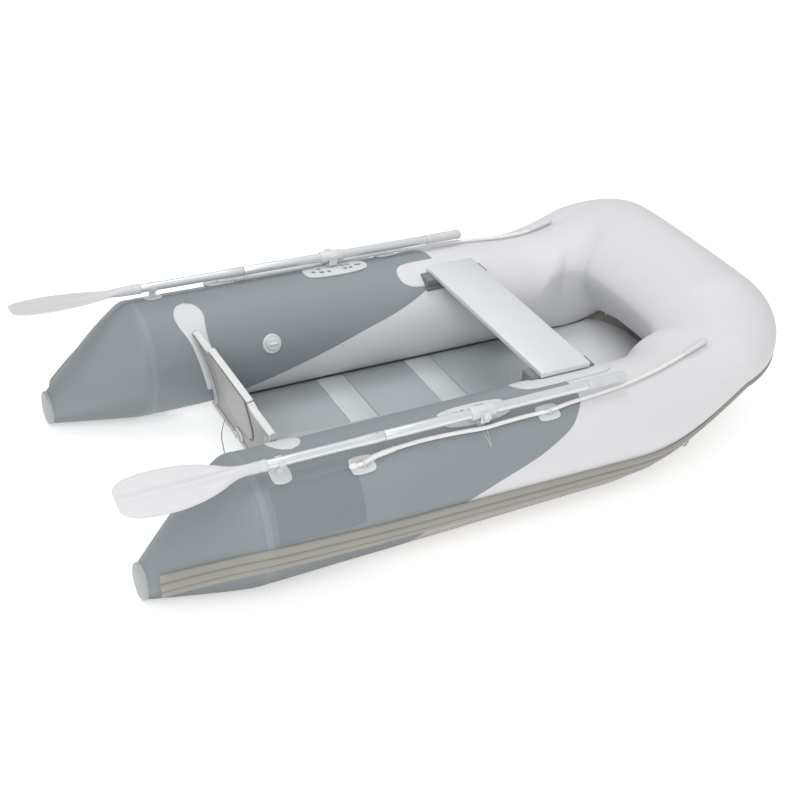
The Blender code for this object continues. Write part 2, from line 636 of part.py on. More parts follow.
for side, tag in ((1, "port"), (-1, "starboard")):
    y = side * OAR_Y
    loft("oar_blade_" + tag, [blade_ring(x, w, h, side) for x, w, h in BLADE], "oar_plastic")
    j = OAR_JOINT
    lathe("oar_shaft_lower_" + tag,
          [(0, 0), (SHAFT_LO, 0), (SHAFT_LO, j - OAR_NECK - 0.046), (0.0172, j - OAR_NECK - 0.042),
           (0.0172, j - OAR_NECK), (0, j - OAR_NECK)],
          (OAR_NECK, y, OAR_Z), (1, 0, 0), "shaft_metal", 20)
    rod("oar_shaft_upper_" + tag, SHAFT_UP, (j + GAP, y, OAR_Z), (OAR_GRIP - GAP, y, OAR_Z), "shaft_metal", 20)
    L = OAR_END - OAR_GRIP
    lathe("oar_grip_" + tag,
          [(0, 0), (0.0168, 0), (GRIP_R, 0.004), (0.0166, L * 0.5), (GRIP_R, L - 0.006), (0.0150, L), (0, L)],
          (OAR_GRIP, y, OAR_Z), (1, 0, 0), "grip_plastic", 20)
    # collar with side trunnions and an outer knob
    col_r = 0.0205
    collar = lathe("oar_collar_" + tag,
                   [(SHAFT_UP + 0.0004, -0.042), (0.0185, -0.042), (col_r, -0.036), (col_r, 0.036), (0.0185, 0.042),
                    (SHAFT_UP + 0.0004, 0.042)], (OAR_PIN, y, OAR_Z), (1, 0, 0), "fitting_plastic", 18, closed=True)
    inner = rod("trunnion_in", 0.0055, (OAR_PIN, side * (OAR_Y - 0.0185), OAR_Z),
                (OAR_PIN, side * (OAR_Y - 0.0262), OAR_Z), None, 14, cut)
    outer = lathe("trunnion_out", [(0, 0), (0.0055, 0), (0.0055, 0.0092), (0.0130, 0.0092), (0.0136, 0.0120),
                                   (0.0115, 0.0185), (0, 0.0195)],
                  (OAR_PIN, side * (OAR_Y + 0.0185), OAR_Z), (0, side, 0), None, 14, cut)
    boolean(collar, inner, 'UNION')
    boolean(collar, outer, 'UNION')
    drop(inner, outer)
    # yoke: foot disc, two cheeks and a pivot pin
    yoke = box("rowlock_yoke_" + tag, (OAR_PIN - 0.016, min(side * 0.4667, side * 0.5193), 0.3872),
               (OAR_PIN + 0.016, max(side * 0.4667, side * 0.5193), OAR_Z + 0.0125), "fitting_plastic", 0.003)
    room = box("yoke_room", (OAR_PIN - 0.05, min(side * 0.4717, side * 0.5143), 0.3917),
               (OAR_PIN + 0.05, max(side * 0.4717, side * 0.5143), 0.5), None, 0.0, cut)
    boolean(yoke, room, 'DIFFERENCE')
    hole = rod("yoke_hole", 0.0060, (OAR_PIN, side * 0.44, OAR_Z), (OAR_PIN, side * 0.55, OAR_Z), None, 16, cut)
    boolean(yoke, hole, 'DIFFERENCE')
    pin = rod("yoke_pin", 0.0060, (OAR_PIN, y, 0.3785), (OAR_PIN, y, 0.3890), None, 16, cut)
    boolean(yoke, pin, 'UNION')
    drop(room, hole, pin)
    # base: leaf plate on the tube with a round boss and a bore for the pin
    base = patch("rowlock_base_" + tag, side, leaf(-0.238, -0.002, 84.5, 12.5, 0.22, 11, 0.55),
                 0.0009, 0.0062, "fitting_plastic", 6)
    boss = rod("boss", 0.0150, (OAR_PIN, y, 0.3600), (OAR_PIN, y, 0.3866), None, 20, cut)
    under = rod("boss_seat", TUBE_R + 0.0012, (-0.3, side * TUBE_Y, TUBE_R), (0.1, side * TUBE_Y, TUBE_R), None, 128, cut)
    boolean(boss, under, 'DIFFERENCE')
    boolean(base, boss, 'UNION')
    drop(under)
    bore = rod("boss_bore", 0.0064, (OAR_PIN, y, 0.3778), (OAR_PIN, y, 0.40), None, 16, cut)
    boolean(base, bore, 'DIFFERENCE')
    drop(boss, bore)
    # aft oar clip: pad on the tube and an open fork
    clip = patch("oar_clip_" + tag, side, leaf(CLIP_X - 0.030, CLIP_X + 0.030, 72.0, 9.5, 0.30, 7, 0.6),
                 0.0009, 0.0040, "fitting_plastic", 6)
    fork = []
    ri, ro = SHAFT_LO + 0.0006, SHAFT_LO + 0.0040
    for k in range(15):
        a = math.radians(30 - 240 * k / 14)
        fork.append((ro * math.cos(a), ro * math.sin(a)))
    for k in range(15):
        a = math.radians(-210 + 240 * k / 14)
        fork.append((ri * math.cos(a), ri * math.sin(a)))
    m = frame_to((CLIP_X - 0.010, y, OAR_Z), (1, 0, 0), (0, 1, 0))
    forkob = prism("clip_fork", fork, 0.020, m, None, cut)
    stem = box("clip_stem", (CLIP_X - 0.010, min(y - 0.005, y + 0.005), 0.3746),
               (CLIP_X + 0.010, max(y - 0.005, y + 0.005), OAR_Z - ri - 0.0012), None, 0.0, cut)
    boolean(clip, stem, 'UNION')
    boolean(clip, forkob, 'UNION')
    drop(stem, forkob)

# ---------------------------------------------------------------- lifelines
ROPE_ROWS = [(-0.560, 61.5, 0.0100), (-0.527, 62.0, 0.0100), (-0.48, 65.5, 0.0096), (-0.40, 68.0, 0.0085),
             (-0.30, 68.6, 0.0085), (-0.19, 67.0, 0.0085), (-0.12, 65.6, 0.0088), (-0.05, 66.2, 0.0085),
             (0.03, 66.5, 0.0090), (0.070, 66.1, 0.0104), (0.110, 66.0, 0.0105), (0.150, 67.2, 0.0103),
             (0.20, 68.7, 0.0086), (0.34, 71.2, 0.0085), (0.45, 74.6, 0.0085), (0.56, 80.0, 0.0088),
             (0.64, 84.0, 0.0090), (0.690, 86.0, 0.0095)]
for side, tag in ((1, "port"), (-1, "starboard")):
    pts = round_line([skin(s, math.radians(p), o + 0.0006, side) for s, p, o in ROPE_ROWS], 2)
    cord("lifeline_" + tag, pts, ROPE_R, "rope_fibre")
    d = (skin(0.784, math.radians(88.0), 0.0150, side) - pts[-1]).normalized()
    lathe("lifeline_sleeve_" + tag, [(0, 0), (0.0070, 0), (0.0085, 0.012), (0.0090, 0.050), (0.0105, 0.078),
                                     (0.0080, 0.090), (0, 0.092)],
          pts[-1] + d * 0.0016, d, "patch_fabric", 16)
    for name, s, phi, off in (("aft", -0.527, 62.0, 0.0106), ("mid", 0.110, 66.0, 0.0111)):
        ob = patch("lifeline_eye_%s_%s" % (name, tag), side, leaf(s - 0.038, s + 0.038, phi, 8.2, 0.55, 7, 0.5),
                   0.0009, 0.0034, "fitting_plastic", 4)
        c = skin(s, math.radians(phi), off, side)
        nrm = skin_normal(s, math.radians(phi), side)
        acr = nrm.cross(Vector((1, 0, 0))).normalized()
        arc = []
        rr = ROPE_R + 0.0030
        for k in range(9):
            a = math.pi * k / 8
            arc.append(c + acr * (rr * math.cos(a)) + nrm * (rr * math.sin(a)))
        foot = off - 0.0030
        arc = [arc[0] - nrm * foot] + arc + [arc[-1] - nrm * foot]
        loop = cord("eye_loop", arc, 0.0022, None)
        boolean(ob, loop, 'UNION')
        drop(loop)

# ---------------------------------------------------------------- tow rings
for side, tag in ((1, "port"), (-1, "starboard")):
    phi = math.radians(-36.0)
    nrm = skin_normal(TOW_S, phi, side)
    c = skin(TOW_S, phi, 0.0092, side)
    tan = (skin(TOW_S + 0.01, phi, 0, side) - skin(TOW_S - 0.01, phi, 0, side)).normalized()
    mount = patch("tow_mount_" + tag, side, leaf(TOW_S - 0.040, TOW_S + 0.040, -36.0, 8.0, 0.35, 7, 0.5),
                  0.0009, 0.0034, "patch_fabric", 4)
    sleeve = rod("tow_sleeve", 0.0068, c - tan * 0.011, c + tan * 0.011, None, 14, cut)
    boolean(mount, sleeve, 'UNION')
    bore = rod("tow_bore", 0.0036, c - tan * 0.03, c + tan * 0.03, None, 12, cut)
    boolean(mount, bore, 'DIFFERENCE')
    drop(sleeve, bore)
    out = (nrm * 0.55 + Vector((0, 0, -1)))
    out = (out - tan * out.dot(tan)).normalized()
    loop = [c - tan * 0.0165, c + tan * 0.0165]
    for k in range(13):
        a = math.pi * k / 12
        loop.append(c + out * (0.030 + 0.0165 * math.sin(a)) + tan * (0.0165 * math.cos(a)))
    cord("tow_ring_" + tag, loop, 0.0029, "ring_steel", True)

# ---------------------------------------------------------------- inflation valves
for side, tag in ((1, "port"), (-1, "starboard")):
    o = skin(VALVE_X, VALVE_PHI, 0.0, side)
    nrm = skin_normal(VALVE_X, VALVE_PHI, side)
    body = lathe("valve_body_" + tag, [(0, -0.003), (0.0325, -0.003), (0.0325, 0.0030), (0.0300, 0.0048), (0, 0.0048)],
                 o, nrm, "valve_plastic", 28)
    tool = rod("valve_cut", TUBE_R + 0.0010, (VALVE_X - 0.2, side * TUBE_Y, TUBE_R),
               (VALVE_X + 0.2, side * TUBE_Y, TUBE_R), None, 128, cut)
    boolean(body, tool, 'DIFFERENCE')
    drop(tool)
    cap = lathe("valve_cap_" + tag, [(0, 0.0054), (0.0215, 0.0054), (0.0215, 0.0095), (0.0195, 0.0115), (0, 0.0115)],
                o, nrm, "valve_plastic", 24)
    m = frame_to(o + nrm * 0.0100, nrm)
    bar = box("cap_bar", (-0.015, -0.0030, 0.0), (0.015, 0.0030, 0.0060), None, 0.0015, cut)
    bar.data.transform(m)
    boolean(cap, bar, 'UNION')
    drop(bar)

for ob in list(cut.objects):
    ob.hide_render = True
    ob.display_type = 'WIRE'

# the whole stands in the middle of its frame
for ob in col.objects:
    ob.data.transform(Matrix.Translation((BOAT_X, 0, 0)))
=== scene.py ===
"""Looks of the inflatable dinghy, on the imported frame. Metres, +X bow, +Y port, +Z up."""
import math

import bmesh
import bpy
from mathutils import Matrix, Vector


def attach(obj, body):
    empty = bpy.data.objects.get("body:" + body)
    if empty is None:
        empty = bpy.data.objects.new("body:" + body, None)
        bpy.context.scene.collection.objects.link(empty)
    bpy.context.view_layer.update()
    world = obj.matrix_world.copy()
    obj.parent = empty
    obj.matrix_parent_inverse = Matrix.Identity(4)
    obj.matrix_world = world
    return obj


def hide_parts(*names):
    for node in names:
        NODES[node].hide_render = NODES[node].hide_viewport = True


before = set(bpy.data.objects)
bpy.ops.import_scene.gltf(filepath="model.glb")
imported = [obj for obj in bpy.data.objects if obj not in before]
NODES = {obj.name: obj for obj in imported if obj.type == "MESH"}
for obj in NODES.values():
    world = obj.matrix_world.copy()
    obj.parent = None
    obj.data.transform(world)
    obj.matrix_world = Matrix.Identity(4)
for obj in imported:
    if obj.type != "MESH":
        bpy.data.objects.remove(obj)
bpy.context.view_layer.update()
SIDES = ((1, "port"), (-1, "starboard"))

# ------------------------------------------------------------------ camera
cam_data = bpy.data.cameras.new("camera")
cam = bpy.data.objects.new("camera", cam_data)
bpy.context.scene.collection.objects.link(cam)
right = Vector((0.86892, -0.48467, 0.10038))
down = Vector((-0.20561, -0.53794, -0.81752))
view = Vector((0.45023, 0.68972, -0.56708))
m = Matrix((right, -down, -view)).transposed().to_4x4()
m.translation = Vector((-1.9119, -2.8625, 2.4737))
cam.matrix_world = m
cam_data.sensor_fit = 'HORIZONTAL'
cam_data.sensor_width = 36.0
cam_data.lens = 56.154
cam_data.clip_end = 200.0
bpy.context.scene.camera = cam

# ------------------------------------------------------------------ hull surface, as in the solid model
BX = 0.0421
TUBE_R, TUBE_Y = 0.190, 0.437
X_CAP, X_CONE, CAP_R, CAP_LIFT = -1.133, -0.855, 0.052, 0.015
X_SHEER, SHEER_END, X_TURN, TURN_R = 0.405, 0.040, 0.868, 0.132
BOW_RISE, BOW_A, BOW_UP, X_LIFT, BOW_LIFT, BOW_BULGE = 0.248, 0.124, 0.102, 0.505, 0.262, 0.008
BOW_FLAT, FLAT_X, FLAT_L, BOW_RAKE, BOW_FULL, BOW_KEEL = 0.25, 0.350, 0.400, 0.048, 0.05, 0.275
IN_X, IN_Y, IN_R, BOW_LEAN, BOW_DROP, KEEL_MID = 0.765, 0.240, 0.050, 0.165, 0.085, 0.17
X_ROW = 0.360
S_TURN = X_TURN + TURN_R * math.pi / 2
HALF_STRAIGHT = TUBE_Y - TURN_R
S_MID = S_TURN + HALF_STRAIGHT
OAR_Y, OAR_Z, OAR_PIN = 0.493, 0.413, -0.120
D2R = math.radians


def clip(v, a=0.0, b=1.0):
    return min(max(v, a), b)


def ease(v):
    v = clip(v)
    return v * v * (3 - 2 * v)


def underside(s):
    return BOW_LIFT * ease((s - X_LIFT) / (S_TURN - X_LIFT))


def section(s):
    ex, ey = IN_X - IN_R, IN_Y - IN_R
    if s <= X_TURN:
        c, n = Vector((s, TUBE_Y, 0)), Vector((0, 1, 0))
        lead = ease((s - X_TURN + 0.32) / 0.32)
        wall = Vector((s + (ex - X_TURN) * lead, TUBE_Y - TUBE_R + (IN_Y - TUBE_Y + TUBE_R) * lead, 0))
    elif s <= S_TURN:
        th = (s - X_TURN) / TURN_R
        n = Vector((math.sin(th), math.cos(th), 0))
        c = Vector((X_TURN, TUBE_Y - TURN_R, 0)) + n * TURN_R
        wall = Vector((ex, ey, 0)) + n * IN_R
    else:
        y = max(HALF_STRAIGHT - (s - S_TURN), 0.0)
        w = (y / HALF_STRAIGHT) ** 2
        c = Vector((X_TURN + TURN_R + BOW_BULGE * (1 - w), y, 0))
        n = Vector((1, 2 * BOW_BULGE * y / HALF_STRAIGHT ** 2, 0)).normalized()
        wall = Vector((IN_X + 0.6 * BOW_BULGE * (1 - w), y * ey / HALF_STRAIGHT, 0))
    if s < X_CONE:
        f = min((X_CONE - s) / (X_CONE - X_CAP), 1.0)
        r = TUBE_R - (TUBE_R - CAP_R) * f ** 1.18
        c.z = r + CAP_LIFT * f
        return c, n, r, r, r, -n * r, 0.0, 0.0, 0.0, 0.0, 0.0
    t = clip((s - X_SHEER) / (S_TURN + SHEER_END - X_SHEER))
    reach = wall - c
    c.z = TUBE_R + BOW_RISE * t ** 3 * (4 - 3 * t)
    a = TUBE_R - (TUBE_R - BOW_A) * ease(t)
    up = TUBE_R - (TUBE_R - BOW_UP) * ease(t)
    return (c, n, a, up, c.z - underside(s), reach, BOW_FLAT * ease((s - FLAT_X) / FLAT_L),
            BOW_RAKE * ease(t) * (1 - 0.8 * ease((s - S_TURN) / 0.15)), BOW_FULL * ease((s - 0.5) / 0.35),
            (BOW_KEEL - (BOW_KEEL - KEEL_MID) * ease((s - X_TURN) / (S_TURN - X_TURN))) * underside(s) / BOW_LIFT,
            BOW_DROP * ease((s - X_TURN + 0.10) / (S_TURN - X_TURN + 0.10)))


def point(s, phi):
    """phi 0 is outboard, 90 degrees up, 180 inboard."""
    c, n, a, up, dn, reach, flat, rake, full, keel, drop_in = section(s)
    co, si = math.cos(phi), math.sin(phi)
    hgt = up if si >= 0 else dn + keel * (1 - (1 - max(-co, 0.0)) ** 2)
    g, back = 1.0, 0.0
    if si < 0:
        g = 1.0 - flat * (2 * co * -si) ** 1.25 if co > 0 else 1.0 + full * (2 * co * si) ** 1.2
        back = rake * (-si) ** 1.2
    side_dir = n * (co * a * g) if co >= 0 else reach * (-co * g)
    lean = BOW_LEAN * n.x * 1.7 * -co * (-si) ** 1.5 if co < 0 and si < 0 else 0.0
    low = drop_in * max(-co, 0.0) ** 1.5
    return c + side_dir - n * back + Vector((lean, 0, si * hgt * g - low))


def normal(s, phi):
    along = point(s + 0.004, phi) - point(s - 0.004, phi)
    around = point(s, phi + 0.02) - point(s, phi - 0.02)
    return around.cross(along).normalized()


def skin(s, phi, off=0.0, side=1):
    p = point(s, phi)
    if off:
        p = p + normal(s, phi) * off
    return Vector((p.x + BX, side * p.y, p.z))


def skin_normal(s, phi, side=1):
    q = normal(s, phi)
    return Vector((q.x, side * q.y, q.z))


def crease(s, phi):
    """Small waves of the stretched fabric: at the cone seam and in the bow's inner corners."""
    d = -0.0010 * math.exp(-((s + 0.853) / 0.005) ** 2)
    d += 0.0013 * math.sin(7 * phi + 1.7 * math.sin(2 * phi)) * math.exp(-((s + 0.832) / 0.026) ** 2)
    d += 0.0009 * math.sin(5 * phi + 0.8) * math.exp(-((s + 0.905) / 0.040) ** 2)
    inn = ease((-math.cos(phi) - 0.75) / 0.25) * (1.0 if math.sin(phi) > -0.2 else 0.4)
    w = ease((s - X_TURN + 0.10) / 0.10) * ease((S_TURN + 0.08 - s) / 0.10)
    d += -0.0016 * inn * w * (0.5 + 0.5 * math.cos(2 * math.pi * (s - X_TURN - TURN_R * 0.785) / 0.10)) ** 2
    d += 0.0005 * math.sin(9.0 * s + 3 * phi) * ease((s + 0.80) / 0.2)
    return d


# ------------------------------------------------------------------ mesh helpers
def new_piece(name, verts, faces, uvs=None, angle=None):
    me = bpy.data.meshes.new(name)
    me.from_pydata([tuple(v) for v in verts], [], faces)
    me.update()
    if uvs is not None:
        lay = me.uv_layers.new(name="UVMap")
        for lp in me.loops:
            lay.data[lp.index].uv = uvs[lp.vertex_index]
    ob = bpy.data.objects.new(name, me)
    bpy.context.scene.collection.objects.link(ob)
    bm = bmesh.new()
    bm.from_mesh(me)
    bmesh.ops.recalc_face_normals(bm, faces=bm.faces)
    bm.to_mesh(me)
    bm.free()
    me.shade_smooth()
    if angle:
        me.set_sharp_from_angle(angle=D2R(angle))
    return ob


def grid(name, rows, wrap=False, caps=False, uv=None, angle=None):
    """Skin through rows of equal point count; wrap closes each row into a ring."""
    n = len(rows[0])
    verts = [p for r in rows for p in r]
    faces = []
    for i in range(len(rows) - 1):
        a, b = i * n, (i + 1) * n
        for k in range(n if wrap else n - 1):
            j = (k + 1) % n
            faces.append((a + k, a + j, b + j, b + k))
    if caps:
        faces.append(tuple(range(n))[::-1])
        faces.append(tuple(range((len(rows) - 1) * n, len(rows) * n)))
    flat = None
    if uv:
        flat = [q for r in uv for q in r]
    return new_piece(name, verts, faces, flat, angle)


def basis(axis, hint=(1, 0, 0)):
    z = Vector(axis).normalized()
    x = Vector(hint)
    if abs(z.dot(x)) > 0.95:
        x = Vector((0, 1, 0))
    x = (x - z * x.dot(z)).normalized()
    return x, z.cross(x), z


def lathe(name, prof, origin, axis, n=48, angle=32.0, closed=False):
    x, y, z = basis(axis)
    o = Vector(origin)
    rows, uv = [], []
    run = 0.0
    pts = prof + [prof[0]] if closed else prof
    for i, (r, h) in enumerate(pts):
        if i:
            run += math.hypot(r - pts[i - 1][0], h - pts[i - 1][1])
        rr = max(r, 1e-5)
        rows.append([o + x * (rr * math.cos(2 * math.pi * k / n)) + y * (rr * math.sin(2 * math.pi * k / n)) + z * h
                     for k in range(n)])
        uv.append([(run, k / n) for k in range(n)])
    return grid(name, rows, True, not closed, uv, angle)


def line(pts, steps):
    p = [Vector(q) for q in pts]
    p = [2 * p[0] - p[1]] + p + [2 * p[-1] - p[-2]]
    out = []
    for i in range(1, len(p) - 2):
        a, b, c, d = p[i - 1], p[i], p[i + 1], p[i + 2]
        for k in range(steps):
            t = k / steps
            out.append(0.5 * (2 * b + (c - a) * t + (2 * a - 5 * b + 4 * c - d) * t * t
                              + (3 * b - a - 3 * c + d) * t ** 3))
    out.append(p[-2])
    return out


def resample(pts, step):
    acc = [0.0]
    for a, b in zip(pts, pts[1:]):
        acc.append(acc[-1] + (b - a).length)
    n = max(int(acc[-1] / step), 4)
    out, j = [], 0
    for k in range(n + 1):
        d = acc[-1] * k / n
        while j < len(pts) - 2 and acc[j + 1] < d:
            j += 1
        f = (d - acc[j]) / max(acc[j + 1] - acc[j], 1e-9)
        out.append(pts[j].lerp(pts[j + 1], clip(f)))
    return out, acc[-1]


def tube(name, pts, rad, n=16, caps=True, cyclic=False):
    """Tube along points; rad is a number or a function of (distance, angle)."""
    f = rad if callable(rad) else (lambda d, a: rad)
    m_ = len(pts)
    tang = []
    for i in range(m_):
        a = pts[(i - 1) % m_] if (i or cyclic) else pts[0]
        b = pts[(i + 1) % m_] if (i < m_ - 1 or cyclic) else pts[-1]
        tang.append((b - a).normalized())
    x = basis(tang[0], (0, 0, 1))[0]
    rows, uv, d = [], [], 0.0
    for i, p in enumerate(pts):
        if i:
            d += (p - pts[i - 1]).length
        t = tang[i]
        x = (x - t * x.dot(t)).normalized()
        y = t.cross(x)
        rows.append([p + (x * math.cos(2 * math.pi * k / n) + y * math.sin(2 * math.pi * k / n))
                     * f(d, 2 * math.pi * k / n) for k in range(n)])
        uv.append([(d, k / n) for k in range(n)])
    if cyclic:
        rows.append(rows[0])
        uv.append(uv[0])
        caps = False
    return grid(name, rows, True, caps, uv)


def apply_mods(ob):
    dg = bpy.context.evaluated_depsgraph_get()
    dg.update()
    me = bpy.data.meshes.new_from_object(ob.evaluated_get(dg))
    ob.modifiers.clear()
    old = ob.data
    ob.data = me
    bpy.data.meshes.remove(old)
    return ob


def refined(node, name, bevel=0.0015, seg=3, angle=30.0, cutters=()):
    """A piece with the solid's own shape, its hard edges rounded and any openings cut through."""
    me = NODES[node].data.copy()
    me.name = name
    me.materials.clear()
    ob = bpy.data.objects.new(name, me)
    bpy.context.scene.collection.objects.link(ob)
    bm = bmesh.new()
    bm.from_mesh(me)
    bmesh.ops.remove_doubles(bm, verts=bm.verts, dist=0.00002)
    bm.to_mesh(me)
    bm.free()
    for c in cutters:
        b = ob.modifiers.new("cut", 'BOOLEAN')
        b.operation, b.solver, b.object = 'DIFFERENCE', 'EXACT', c
    if cutters:
        apply_mods(ob)
        for c in cutters:
            bpy.data.objects.remove(c, do_unlink=True)
    bm = bmesh.new()
    bm.from_mesh(ob.data)
    bmesh.ops.remove_doubles(bm, verts=bm.verts, dist=0.00002)
    bmesh.ops.dissolve_limit(bm, angle_limit=D2R(0.6), verts=bm.verts, edges=bm.edges)
    bmesh.ops.recalc_face_normals(bm, faces=bm.faces)
    bm.to_mesh(ob.data)
    bm.free()
    if bevel:
        b = ob.modifiers.new("round", 'BEVEL')
        b.width, b.segments, b.limit_method, b.angle_limit = bevel, seg, 'ANGLE', D2R(angle)
        b.harden_normals = True
    ob.data.shade_smooth()
    if bevel:
        apply_mods(ob)
    ob.data.set_sharp_from_angle(angle=D2R(40))
    return ob


def block(name, lo, hi):
    lo, hi = [min(a, b) for a, b in zip(lo, hi)], [max(a, b) for a, b in zip(lo, hi)]
    v = [Vector((x, y, z)) for x in (lo[0], hi[0]) for y in (lo[1], hi[1]) for z in (lo[2], hi[2])]
    f = [(0, 1, 3, 2), (4, 6, 7, 5), (0, 4, 5, 1), (2, 3, 7, 6), (0, 2, 6, 4), (1, 5, 7, 3)]
    return new_piece(name, v, f)


def sheet_on(name, side, outline, off0, off1, rows=18, cols=14):
    """Thin rounded plate on a tube; outline(f) gives (s, phi_low, phi_high) in degrees for f from 0 to 1."""
    top, uv = [], []
    for i in range(rows + 1):
        s, lo, hi = outline(i / rows)
        top.append([(s, D2R(lo + (hi - lo) * (0.5 - 0.5 * math.cos(math.pi * k / cols)))) for k in range(cols + 1)])
    verts, faces, uvs = [], [], []
    n = cols + 1
    for layer, off in ((0, off1), (1, off0)):
        for i, r in enumerate(top):
            for k, (s, p) in enumerate(r):
                edge = min(min(i, rows - i) / 1.0, min(k, cols - k) / 1.0)
                o = off if layer else off0 + (off1 - off0) * (0.45 if edge < 1 else 1.0)
                verts.append(skin(s, p, o + crease(s, p), side))
                uvs.append((s, p * TUBE_R))
    half = (rows + 1) * n
    for i in range(rows):
        for k in range(cols):
            a = i * n + k
            faces.append((a, a + 1, a + n + 1, a + n))
            faces.append((half + a, half + a + n, half + a + n + 1, half + a + 1))
    rim = [(0, k) for k in range(cols)] + [(i, cols) for i in range(rows)] + \
          [(rows, k) for k in range(cols, 0, -1)] + [(i, 0) for i in range(rows, 0, -1)]
    for (i, k), (j, l) in zip(rim, rim[1:] + rim[:1]):
        a, b = i * n + k, j * n + l
        faces.append((a, half + a, half + b, b))
    return new_piece(name, verts, faces, uvs, 50)


def leaf(x0, x1, mid, half, power=0.5, tip=0.05):
    def f(t):
        e = math.sin(math.pi * clip(t, 0.0, 1.0)) ** power if 0 < t < 1 else 0.0
        w = half * (tip + (1 - tip) * e)
        return x0 + (x1 - x0) * (0.5 - 0.5 * math.cos(math.pi * t)), mid - w, mid + w
    return f


# ------------------------------------------------------------------ materials
def lin(h):
    h = h.lstrip("#")
    v = [int(h[i:i + 2], 16) / 255.0 for i in (0, 2, 4)]
    return [c / 12.92 if c <= 0.04045 else ((c + 0.055) / 1.055) ** 2.4 for c in v]


def material(name, color, rough, metal=0.0, vary=0.06, scale=6.0, grain=900.0, bump=0.10, depth=0.0004,
             weave=None, brush=None, sheen=0.0, coat=0.0, spec=0.5, rough_vary=0.06, wear=None, braid=None,
             painted_shade=None):
    """Base colour with soft variation, a fine surface (grain, weave, brush marks or braid) and uneven gloss."""
    ma = bpy.data.materials.new(name)
    ma.use_nodes = True
    nt = ma.node_tree
    N, L = nt.nodes, nt.links
    p = N["Principled BSDF"]
    p.inputs["Metallic"].default_value = metal
    p.inputs["Sheen Weight"].default_value = sheen
    p.inputs["Coat Weight"].default_value = coat
    p.inputs["Coat Roughness"].default_value = 0.25
    p.inputs["Specular IOR Level"].default_value = spec
    tc = N.new("ShaderNodeTexCoord")
    big = N.new("ShaderNodeTexNoise")
    big.inputs["Scale"].default_value = scale
    big.inputs["Detail"].default_value = 5.0
    big.inputs["Roughness"].default_value = 0.55
    L.new(tc.outputs["Object"], big.inputs["Vector"])
    c = lin(color) if isinstance(color, str) else list(color)
    ramp = N.new("ShaderNodeValToRGB")
    ramp.color_ramp.elements[0].position = 0.28
    ramp.color_ramp.elements[1].position = 0.72
    ramp.color_ramp.elements[0].color = (*[x * (1 - vary) for x in c], 1)
    ramp.color_ramp.elements[1].color = (*[min(x * (1 + vary), 1.0) for x in c], 1)
    L.new(big.outputs["Fac"], ramp.inputs["Fac"])
    col = ramp.outputs["Color"]
    # fine speck of the surface in the colour
    fine = N.new("ShaderNodeTexNoise")
    fine.inputs["Scale"].default_value = grain
    fine.inputs["Detail"].default_value = 2.0
    L.new(tc.outputs["Object"], fine.inputs["Vector"])
    if brush:
        mp = N.new("ShaderNodeMapping")
        mp.inputs["Scale"].default_value = brush
        L.new(tc.outputs["Object"], mp.inputs["Vector"])
        L.new(mp.outputs["Vector"], fine.inputs["Vector"])
        fine.inputs["Scale"].default_value = 1.0
    speck = N.new("ShaderNodeMapRange")
    speck.inputs["To Min"].default_value = 1.0 - vary * 0.6
    speck.inputs["To Max"].default_value = 1.0 + vary * 0.6
    L.new(fine.outputs["Fac"], speck.inputs["Value"])
    mul = N.new("ShaderNodeMix")
    mul.data_type, mul.blend_type = 'RGBA', 'MULTIPLY'
    mul.inputs["Factor"].default_value = 1.0
    L.new(col, mul.inputs["A"])
    L.new(speck.outputs["Result"], mul.inputs["B"])
    col = mul.outputs["Result"]
    height = fine.outputs["Fac"]
    if weave or braid:
        waves = []
        if weave:
            specs = (('X', weave), ('Y', weave))
            for d, sc in specs:
                w = N.new("ShaderNodeTexWave")
                w.wave_type, w.bands_direction, w.wave_profile = 'BANDS', d, 'SIN'
                w.inputs["Scale"].default_value = sc
                w.inputs["Distortion"].default_value = 0.6
                w.inputs["Detail"].default_value = 1.0
                L.new(tc.outputs["UV"], w.inputs["Vector"])
                waves.append(w.outputs["Fac"])
        else:
            for sgn in (1, -1):
                mp = N.new("ShaderNodeMapping")
                mp.inputs["Rotation"].default_value = (0, 0, sgn * D2R(38))
                mp.inputs["Scale"].default_value = (1.0, 0.035, 1.0)
                L.new(tc.outputs["UV"], mp.inputs["Vector"])
                w = N.new("ShaderNodeTexWave")
                w.wave_type, w.bands_direction, w.wave_profile = 'BANDS', 'X', 'SIN'
                w.inputs["Scale"].default_value = braid
                L.new(mp.outputs["Vector"], w.inputs["Vector"])
                waves.append(w.outputs["Fac"])
        mx = N.new("ShaderNodeMath")
        mx.operation = 'MAXIMUM' if braid else 'MULTIPLY'
        L.new(waves[0], mx.inputs[0])
        L.new(waves[1], mx.inputs[1])
        add = N.new("ShaderNodeMath")
        add.operation = 'MULTIPLY_ADD'
        L.new(fine.outputs["Fac"], add.inputs[0])
        add.inputs[1].default_value = 0.6
        L.new(mx.outputs[0], add.inputs[2])
        height = add.outputs[0]
    if wear:
        # rubbed, paler edges
        geo = N.new("ShaderNodeNewGeometry")
        er = N.new("ShaderNodeMapRange")
        er.inputs["From Min"].default_value = 0.52
        er.inputs["From Max"].default_value = 0.62
        er.inputs["To Max"].default_value = 0.5
        L.new(geo.outputs["Pointiness"], er.inputs["Value"])
        wm = N.new("ShaderNodeMix")
        wm.data_type = 'RGBA'
        L.new(er.outputs["Result"], wm.inputs["Factor"])
        L.new(col, wm.inputs["A"])
        wm.inputs["B"].default_value = (*lin(wear), 1)
        col = wm.outputs["Result"]
    if painted_shade:
